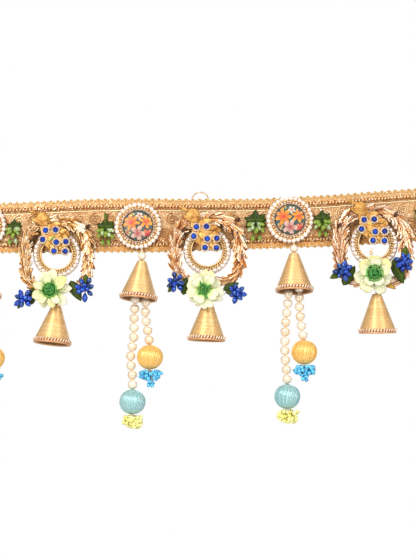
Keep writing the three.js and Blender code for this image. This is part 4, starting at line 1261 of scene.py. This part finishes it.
charm = {
    "plate": 1.3, "halo": 3.05, "haloStone": 0.66, "haloCount": 14, "blue": 2.15,
    "plateRows": [(0.35, 0.0), (0.0, -0.25), (0.0, -0.7), (0.5, -1.05)],  # inset and depth
    "cup": [(0, -0.9), (3.4, -0.9), (3.65, 0.2), (3.4, 0.4), (0, 0.4)],
    "crest": [(0, 1.4), (2.2, 1.3), (4.4, 0.9), (5.3, 0.2), (5.1, -0.6), (0, -0.6)],
    "crestAt": (-12.2, 30.5),
}
charmStones = [(-9.1, 19.5), (-0.5, 20), (-11.4, 11.6), (0.2, 9.4), (8.3, 9.8), (-1.7, 1.8), (7.9, 1.5)]
birdOutline = [
    (-17.5, 34.8), (-12, 35.6), (-6.8, 31.5), (-4, 24), (6, 22), (11.5, 17), (9.5, 12),
    (9.5, 1), (6, -0.5), (-2.5, 0), (-7.5, 5), (-12.5, 9.5), (-13, 17), (-14.5, 25), (-17.5, 31),
]
feathers = [  # foot across and up, length, width, turn: the plumes that make up the bird's relief
    (-6.5, 23.5, 14.5, 8.5, 147), (-9, 25, 13.5, 5, 160), (-13.5, 24, 9, 5, -62), (-8, 24, 9, 5.5, -18),
    (-5, 24.5, 10, 5, 4), (2, 17.5, 8, 5, 20), (4, 15, 7, 4.6, -14), (-6, 16, 8.5, 5, -70),
    (-5.5, 14.5, 8, 4.6, -30), (3.5, 14.6, 7, 4.4, -84), (-5.6, 7.5, 7.6, 4.6, -44), (2.6, 5.8, 5, 4.2, -60),
    (4.4, 6, 5, 4, 10), (-15.5, 33.4, 9.5, 3.4, 160), (-12.5, 15.5, 5, 3.4, -70),
]


def birdPlate():
    # the bird's flat ground, cast in one: back, rim and front
    outline = closedCurve(birdOutline, 4)[::-1]
    edge = np.roll(outline, -1, 0) - np.roll(outline, 1, 0)
    inward = np.stack([-edge[:, 1], edge[:, 0]], 1)
    inward /= np.linalg.norm(inward, axis=1, keepdims=True)
    rings = []
    for inset, y in charm["plateRows"]:
        ring = outline + inward * inset
        rings.append(np.stack([ring[:, 0], np.full(len(ring), y), ring[:, 1]], 1))
    return rounds(rings)


def domed(wide):
    # the swell of a plume across its width
    return lambda along, aside: -0.2 - 0.35 * (1 - (2 * aside / wide) ** 2)


for n in (1, 2, 3):
    rng = np.random.default_rng(500 + n)
    node = f"charm_{n}"
    seat = boxOf(f"open_ring_{n}")[2]
    seat[1] = boxOf(node)[1][1]
    gold, blues, halos, cups, bezels = [birdPlate().placed(seat)], [], [], [], []
    for x, z, long, wide, turn in feathers:
        plume = blade(leafOutline(long, wide), 0.8, domed(wide), 4)
        gold.append(turnedOut(plume, turn, 3, 0, seat + [x, -charm["plate"] + 0.3, z], tone=rng.random()))
    crestX, crestZ = charm["crestAt"]
    gold.append(lathed(charm["crest"], 28).placed(seat + [crestX, -charm["plate"], crestZ], faceFront))
    for x, z in charmStones:
        at = seat + [x, -charm["plate"] - 0.2, z]
        cups.append(lathed(charm["cup"], 22).placed(at, faceFront))
        # a dark ring round each blue stone, painted shade between the stone and its halo
        bezels.append(ringOf(at, at[1] - 0.55, charm["blue"], 0.28, 0.3, 6, 28))
        blues.append(stoneForm(charm["blue"], 9, 0.55).placed(at - [0, 0.5, 0], spun("y", rng.uniform(0, 40)),
                                                              tone=rng.random()))
        for k in range(charm["haloCount"]):
            angle = 2 * pi * (k + rng.uniform(-0.1, 0.1)) / charm["haloCount"]
            halos.append(stoneForm(charm["haloStone"], 6, 0.8).placed(
                at + [charm["halo"] * cos(angle), -0.45, charm["halo"] * sin(angle)],
                spun("y", rng.uniform(0, 60)), tone=rng.random()))
    piece(f"{node}_gold", gold, finishes["charm"], [node])
    piece(f"{node}_cups", cups, finishes["silver"])
    piece(f"{node}_bezels", bezels, finishes["bezel"])
    piece(f"{node}_blue_stones", blues, finishes["blueStone"])
    piece(f"{node}_halo_stones", halos, finishes["rhinestone"])
print("charms made")


# Flowers: cloth petals round a rolled bud

flowerKinds = {  # long, wide and notch are of a petal; calyx is how far above the middle the calyx sits
    1: {"turn": 0, "long": 16.5, "wide": 8.6, "notch": -0.06, "yellow": 0.55, "bud": 1.1, "petals": 9,
        "inner": 5, "calyx": 3},
    2: {"turn": 24, "long": 16.2, "wide": 13.5, "notch": 0.1, "yellow": 0.2, "bud": 0.75, "petals": 7,
        "inner": 4, "calyx": 6},
    3: {"turn": -12, "long": 16.5, "wide": 12.5, "notch": 0.03, "yellow": 0.45, "bud": 1.3, "petals": 7,
        "inner": 5, "calyx": -7.5},
}
flower = {
    "back": -12.1, "drop": 1.6, "innerLong": 11.5, "innerWide": 0.72, "calyxBack": -9.3,
    "core": [(0, 5.6), (1.3, 5.2), (2.2, 3.6), (2.4, 0), (2.0, -3), (0, -3.4)],
    "calyx": [(0, 4.4), (3.2, 4.0), (4.2, 2.4), (3.4, 0.6), (0, 0.4)],
    "wraps": [  # radius, height, flare and number of the rolled leaves in each layer
        (2.8, 6.6, 0.1, 3), (4.2, 6.0, 0.28, 4), (5.6, 4.8, 0.62, 5),
    ],
    "sepals": 4,
}


def petalOutline(long, wide, notch):
    half = [(0.0, 0.1), (0.22, 0.27), (0.48, 0.44), (0.74, 0.5), (0.92, 0.36), (1.0, 0.16)]
    upper = [(x * long, z * wide) for x, z in half]
    lower = [(x, -z) for x, z in reversed(upper)]
    return closedCurve(upper + [((1.0 - notch) * long, 0.0)] + lower, 3)


def petalForm(long, wide, notch, cup, curl, seed, ruffle=0.9):
    # a petal with a crease down its middle and a waved edge
    rng = np.random.default_rng(seed)
    phase, wave = rng.uniform(0, 6, 2), rng.uniform(0.5, 1.0) * ruffle

    def bend(x, z):
        reach, aside = np.clip(x / long, 0, 1), 2 * z / wide
        crease = 0.7 * np.exp(-(aside / 0.16) ** 2) * np.sin(pi * reach)
        edge = wave * reach ** 2 * np.sin(5.5 * aside + 3.2 * reach + phase[0]) * np.abs(aside)
        return (-cup * aside ** 2 + curl * reach ** 2.2 - 0.9 * np.sin(pi * reach) + edge + crease
                + 0.3 * wave * np.sin(7 * reach + phase[1]))

    return blade(petalOutline(long, wide, notch), 0.5, bend, 8, heart=(0.55, 0.5))


def wrapForm(radius, wide, tall, flare, seed):
    # one rolled leaf of a bud: a thin shell round the bud's axis, which points to the front
    rng = np.random.default_rng(seed)
    around = np.linspace(0, 2 * pi, 22)[:-1]
    outline = np.stack([wide / 2 * np.sign(np.cos(around)) * np.abs(np.cos(around)) ** 0.7,
                        tall / 2 * np.sign(np.sin(around)) * np.abs(np.sin(around)) ** 0.8], 1)
    pad = blade(outline, 0.6, None, 6)
    up = (pad.points[:, 2] + tall / 2) / tall
    angle = pad.points[:, 0] / radius
    out = radius * (1 - (0.72 - flare) * up ** 2.2) - pad.points[:, 1]
    out = out + 0.25 * np.sin(6 * angle + rng.uniform(0, 6)) * up ** 2
    pad.points = np.stack([out * np.sin(angle), -up * tall, out * np.cos(angle)], 1)
    return pad


for n, kind in flowerKinds.items():
    rng = np.random.default_rng(600 + n)
    node = f"flower_{n}"
    centre = boxOf(node)[2]
    middle = np.array([centre[0], flower["back"], centre[2] - flower["drop"]])
    petals, greens = [], []
    for k in range(kind["petals"]):
        form = petalForm(kind["long"] * rng.uniform(0.82, 1.05), kind["wide"] * rng.uniform(0.8, 1.12),
                         kind["notch"], rng.uniform(0.3, 2.2), rng.uniform(-2.0, 1.6), 610 + 20 * n + k, 1.3)
        turn = kind["turn"] + 360 * (k + rng.uniform(-0.2, 0.2)) / kind["petals"]
        petals.append(turnedOut(form, turn, 14 if k % 2 else 6, 1.2, middle + [0, -0.6 - 1.3 * (k % 2), 0],
                                tone=np.clip(kind["yellow"] + rng.normal(0, 0.25), 0, 1)))
    for k in range(kind["inner"]):
        form = petalForm(flower["innerLong"] * rng.uniform(0.85, 1.1), kind["wide"] * flower["innerWide"],
                         kind["notch"], 1.2, rng.uniform(-1.5, 0.2), 700 + 20 * n + k)
        turn = kind["turn"] + 25 + 360 * (k + rng.uniform(-0.15, 0.15)) / kind["inner"]
        petals.append(turnedOut(form, turn, 24 + rng.uniform(-5, 6), 2.4, middle + [0, -3.0, 0],
                                tone=np.clip(kind["yellow"] + rng.normal(0, 0.25), 0, 1)))
    size = kind["bud"]
    heart = middle + [0, -3.8, 0]
    greens.append(lathed(flower["core"], 20).placed(heart, faceFront, size, 0.1))
    for layer, (radius, tall, flare, many) in enumerate(flower["wraps"]):
        for k in range(many):
            turn = 360 * (k + 0.3 * layer) / many + kind["turn"] + rng.uniform(-8, 8)
            wrap = wrapForm(radius, 2.0 * radius, tall, flare, 800 + 40 * n + 10 * layer + k)
            greens.append(wrap.placed(heart, spun("y", -turn), size, rng.uniform(0.15, 0.8)))
    # sepals in the darker greens of the rolled bud, between the petals near the core, partly painted shade
    # there
    for k in range(flower["sepals"]):
        outline = leafOutline(rng.uniform(6, 10.5), rng.uniform(2.2, 3.6), 8)
        sepal = blade(outline, 0.5, lambda along, aside: 0.4 * np.abs(aside) - 0.02 * along ** 2, 4)
        turn = 90 * k + rng.uniform(-25, 25) + kind["turn"]
        greens.append(turnedOut(sepal, turn, rng.uniform(12, 26), 0.5, middle + [0, -4.0, 0],
                                tone=rng.uniform(0, 0.5)))
    piece(f"{node}_petals", petals, finishes["petal"], [node])
    piece(f"{node}_rolled_bud", greens, finishes["rolled"])
    calyx = lathed(flower["calyx"], 20).placed((centre[0], flower["calyxBack"], centre[2] + kind["calyx"]),
                                               faceFront)
    piece(f"{node}_calyx", [calyx], finishes["leaf"])
print("flowers made")


# Sprays: blue glitter buds with a leaf, on the garlands

budSprays = {  # centre, width and height of the buds; where their leaf lies from it, its length and turn
    "buds_1_left": (-165.7, -88, 12.5, 20, 6.8, 2.5, 15, 88),
    "buds_1_right": (-113.9, -79.5, 15.5, 24.5, -8, -1.7, 20, -62),
    "buds_2_left": (-37.4, -74.4, 14, 21, 7.6, -2.5, 16, 80),
    "buds_2_right": (14, -83.3, 16.4, 14.5, -4.7, 6, 15, 24),
    "buds_3_left": (104.1, -64.6, 17.4, 17.4, 5.1, -3.4, 20, 58),
    "buds_3_right": (155.6, -57, 14.6, 18, -4.7, -7.6, 23, -68),
}
budSize = {"long": 8.8, "wide": 4.6, "count": 7, "innerLong": 6.4, "innerWide": 4.2, "inner": 3}
sprayFront = -9.2


def budForm(long, wide, around=14, rows=10):
    # a drop that lies along +X with its stalk end at zero
    t = np.linspace(0, 1, rows + 1)
    r = wide / 2 * np.sin(pi * t ** 1.25) ** 0.75
    profile = [(r[i] if 0 < i < rows else 0, long * t[i]) for i in range(rows + 1)]
    return lathed(profile, around).placed(turn=spun("y", 90))


def reachOf(wide, high, turn):
    # from the middle of an oval to its edge
    angle = radians(turn)
    return 1 / hypot(cos(angle) / (wide / 2), sin(angle) / (high / 2))


def stalkForm(start, end, radius=0.4, tone=0.4, sag=0.6):
    # a stalk that bows back between its ends
    start, end = np.asarray(start, float), np.asarray(end, float)
    t = np.linspace(0, 1, 7)[:, None]
    line = start + (end - start) * t
    line[:, 1] += sag * np.sin(pi * t[:, 0])
    return tube(line, radius, 6, tone=tone, reference=(0.2, 1, 0.1))


def folded(long, wide):
    # a leaf folded a little along its rib and arched from foot to tip
    return lambda along, aside: 0.9 * np.abs(aside) / wide * 2 - 1.2 * np.sin(pi * along / long)


for name, (x, z, wide, high, leafX, leafZ, long, leafTurn) in budSprays.items():
    rng = np.random.default_rng(sum(map(ord, name)))
    centre = np.array([x, sprayFront - 2.6, z])
    buds, stalks = [], []
    for k in range(budSize["count"]):
        angle = leafTurn + 20 + 360 / budSize["count"] * (k + rng.uniform(-0.15, 0.15))
        far = reachOf(wide, high, angle)
        tilt = (30 if k % 2 else 8) + rng.uniform(-4, 6)
        size = rng.uniform(0.85, 1.08)
        foot = max(far - budSize["long"] * size, 0.6)
        buds.append(turnedOut(budForm(budSize["long"] * size, budSize["wide"] * size), angle, tilt, foot,
                              centre, rng.random()))
        stalks.append(turnedOut(stalkForm((0, 0, 0), (foot + 1.0, 0, 0), sag=0), angle, tilt, 0, centre))
    for k in range(budSize["inner"]):
        angle = leafTurn + 120 * k + 40
        bud = budForm(budSize["innerLong"], budSize["innerWide"])
        buds.append(turnedOut(bud, angle, 62, 0.8, centre - [0, 0.8, 0], rng.random()))
    piece(f"{name}_glitter", buds, finishes["bud"], [name])
    leafWide = 0.46 * long
    leaf = blade(leafOutline(long, leafWide, 12), 0.5, folded(long, leafWide), 6)
    small = blade(leafOutline(0.6 * long, 0.3 * long, 10), 0.45, None, 4)
    leaves = [
        turnedOut(leaf.placed((-long / 2, 0, 0)), leafTurn, 0, 0, (x + leafX, sprayFront - 1.4, z + leafZ)),
        turnedOut(small, leafTurn + 150, 4, 1.0, (x, sprayFront - 0.9, z), tone=0.8),
    ]
    stalks.append(stalkForm((x, sprayFront - 2.4, z), (x + leafX, sprayFront - 1.0, z + leafZ), 0.6))
    piece(f"{name}_leaves", leaves + stalks, finishes["leaf"])
print("bud sprays made")


# Sprays of an ivy leaf and green buds, on the band

leafSprays = {  # leaf's centre and size; shift, width and height of the buds; bare stem
    "leaf_1": (-176.1, -25, 0.73, -2.6, 12.5, 19, 0),
    "leaf_2": (-98, -25.6, 0.92, 0.6, 17.5, 18, 13),
    "leaf_3": (30.2, -20.4, 1.1, 1.7, 16.5, 20, 0),
    "leaf_4": (87.5, -18.2, 0.85, 0, 17, 18, 0),
    "leaf_5": (173.5, -13.4, 0.85, 0.6, 13, 19, 0),
}
ivyOutline = [
    (0.6, 9.4), (2.6, 5.6), (5.2, 5.6), (7.0, 3.6), (6.6, 0.6), (8.6, -3.6), (4.2, -4.6), (0, -7),
    (-4.6, -4.2), (-7.6, -4.6), (-6.6, -0.4), (-8.2, 3.4), (-4.6, 4.0), (-2.4, 6.2),
]
limeTurns = [  # turn and tilt of each green bud; the first six are the outer ones
    (-28, 21), (-56, 14), (-78, 12), (-100, 14), (-126, 14), (-152, 20),
    (-66, 28), (-90, 24), (-114, 28), (-84, 40), (-42, 30), (-138, 30),
]


def waved(size):
    # an ivy leaf raised along its rib, with lobes that bend back
    return lambda along, aside: -1.0 + 0.5 * np.cos(along * 0.9 / size) - 0.06 * np.abs(along) * size


for name, (x, z, size, shift, wide, high, stem) in leafSprays.items():
    rng = np.random.default_rng(sum(map(ord, name)) * 3)
    y = float(frontY(x)) - 1.1
    soft = closedCurve(ivyOutline, 4) * size
    ivy = blade(soft, 0.6, waved(size), 7, tone=0.3)
    second = blade(soft * 0.62, 0.5, lambda along, aside: -0.5 * np.cos(along * 0.5), 5, tone=0.6)
    greens = [ivy.placed((x, y, z)),
              second.placed((x + 3.6 * size, y - 0.8, z + 1.5 * size), spun("y", 38))]
    if stem:
        greens.append(stalkForm((x, y - 1, z), (x - 0.6, y - 1.2, z + stem), 0.7, 0.95))
        tongue = blade(leafOutline(7, 2.6), 0.5, None, 4)
        greens.append(turnedOut(tongue, 78, 0, 0, (x, y - 1.3, z + stem - 7), 0.9))
    limes = []
    heart = np.array([x + shift * 0.3, y - 1.0, z])
    for k, (angle, tilt) in enumerate(limeTurns):
        outer = k < 6
        far = reachOf(wide, 2 * high, angle) * (1 if outer else rng.uniform(0.55, 0.75))
        long = rng.uniform(6.2, 7.6) if outer else 5.8
        foot = max(far - long, 1.0)
        limes.append(turnedOut(budForm(long, rng.uniform(3.1, 3.9), 12, 8), angle, tilt, foot, heart,
                               rng.random()))
        greens.append(turnedOut(stalkForm((0, 0, 0), (foot + 1.0, 0, 0), sag=0), angle, tilt, 0, heart))
    piece(f"{name}_ivy", greens, finishes["leaf"], [name])
    piece(f"{name}_lime_buds", limes, finishes["lime"])
print("leaf sprays made")


# Odd bits: a green snip on one charm, a bud tip and a brown leaf at one flower, and a bead on a leaf

oddBits = {  # place, length, width, turn, finish, slot
    "charm_1_green_snip": ((-143.4, -18.8, -39.9), 7.0, 2.1, 49, "lime", "green_buds"),
    "flower_3_bud_tip": ((127.6, -12.4, -51), 6.5, 3.0, 82, "strip3", "petals"),
    "flower_3_brown_leaf": ((137.6, -11.6, -73), 13, 4.6, -32, "brownLeaf", "leaves"),
}
for name, (place, long, wide, turn, finish, slot) in oddBits.items():
    bit = blade(leafOutline(long, wide), 0.6, None, 4)
    piece(name, [turnedOut(bit, turn, 0, 0, place)], finishes[finish])
leafBead = {"radius": 1.15, "x": 86.6, "z": -10.4, "out": 2.2}
beadAt = (leafBead["x"], float(frontY(leafBead["x"])) - leafBead["out"], leafBead["z"])
piece("leaf_4_bead", [ballForm(leafBead["radius"], 12, 8).placed(beadAt)], finishes["rimPearl"])


# Floor, light and camera

# the camera frames this centre and height in millimetres, looking up by the rise in degrees
view = {"lens": 92, "sensor": 36, "rise": 6.5, "centre": (-10.2, -5, -69.1), "tall": 471.75}
floorHalf, floorLevel = 3, -0.8  # metres, as are the lamps' places and sizes
floorMesh = bpy.data.meshes.new("floor")
floorCorners = [(x * floorHalf, y * floorHalf, floorLevel) for x, y in ((-1, -1), (1, -1), (1, 1), (-1, 1))]
floorMesh.from_pydata(floorCorners, [], [(0, 1, 2, 3)])
floor = bpy.data.objects.new("floor", floorMesh)
bpy.context.scene.collection.objects.link(floor)
floorMesh.materials.append(Finish("pale_floor", {"Base Color": (0.9, 0.9, 0.89), "Roughness": 0.8}).material)


def softbox(name, place, target, size, watts):
    # a lamp that faces its target
    lamp = bpy.data.lights.new(name, "AREA")
    lamp.shape, lamp.size, lamp.size_y = "RECTANGLE", size[0], size[1]
    lamp.energy = watts
    made = bpy.data.objects.new(name, lamp)
    bpy.context.scene.collection.objects.link(made)
    made.location = place
    aim = np.asarray(target, float) - np.asarray(place, float)
    flat = hypot(aim[0], aim[1])
    made.rotation_euler = (atan2(flat, -aim[2]), 0, atan2(-aim[0], aim[1]))


softbox("key_light", (-0.7, -1.2, 0.5), (0, 0, -0.07), (0.5, 0.5), 9.5)
softbox("fill_light", (1.0, -1.1, 0.2), (0, 0, -0.07), (0.3, 0.9), 5.5)
softbox("strip_light", (0.1, -1.1, 0.75), (0, 0, -0.15), (1.4, 0.1), 5)
softbox("streak_light", (-0.5, -1.15, -0.05), (-0.02, 0, -0.08), (0.09, 0.9), 3.2)
softbox("back_light", (0.3, 1.2, 0.7), (0, 0, -0.07), (0.9, 0.9), 5)

# a studio of pale and dark panels, so that metal has something to mirror; the camera sees plain white
world = bpy.data.worlds.new("studio")
world.use_nodes = True
bpy.context.scene.world = world
tree = world.node_tree


def worldNode(kind, values):
    node = tree.nodes.new(kind)
    for socket, value in values.items():
        if isinstance(value, bpy.types.NodeSocket):
            tree.links.new(value, node.inputs[socket])
        else:
            node.inputs[socket].default_value = value
    return node.outputs


around = worldNode("ShaderNodeTexCoord", {})["Generated"]
panels = worldNode("ShaderNodeTexNoise", {"Vector": around, "Scale": 2.6, "Detail": 1.0})["Fac"]
level = worldNode("ShaderNodeMapRange", {0: panels, 1: 0.42, 2: 0.6, 3: 0.12, 4: 1.05})[0]
shade = tree.nodes["Background"]
shade.inputs["Color"].default_value = (1.0, 0.985, 0.965, 1)
tree.links.new(level, shade.inputs["Strength"])
plain = worldNode("ShaderNodeBackground", {"Color": (1, 1, 1, 1), "Strength": 1.0})[0]
seen = worldNode("ShaderNodeLightPath", {})["Is Camera Ray"]
shown = worldNode("ShaderNodeMixShader", {0: seen, 1: shade.outputs[0], 2: plain})[0]
tree.links.new(shown, tree.nodes["World Output"].inputs[0])
bpy.context.scene.view_settings.view_transform = "Standard"

camera = bpy.data.objects.new("camera", bpy.data.cameras.new("camera"))
bpy.context.scene.collection.objects.link(camera)
camera.data.lens = view["lens"]
camera.data.sensor_fit = "VERTICAL"
camera.data.sensor_height = view["sensor"]
away = view["tall"] * view["lens"] / view["sensor"]
rise = radians(view["rise"])
cx, cy, cz = view["centre"]
camera.location = (cx * mm, (cy - away * cos(rise)) * mm, (cz - away * sin(rise)) * mm)
camera.rotation_euler = (pi / 2 + rise, 0, 0)
bpy.context.scene.camera = camera
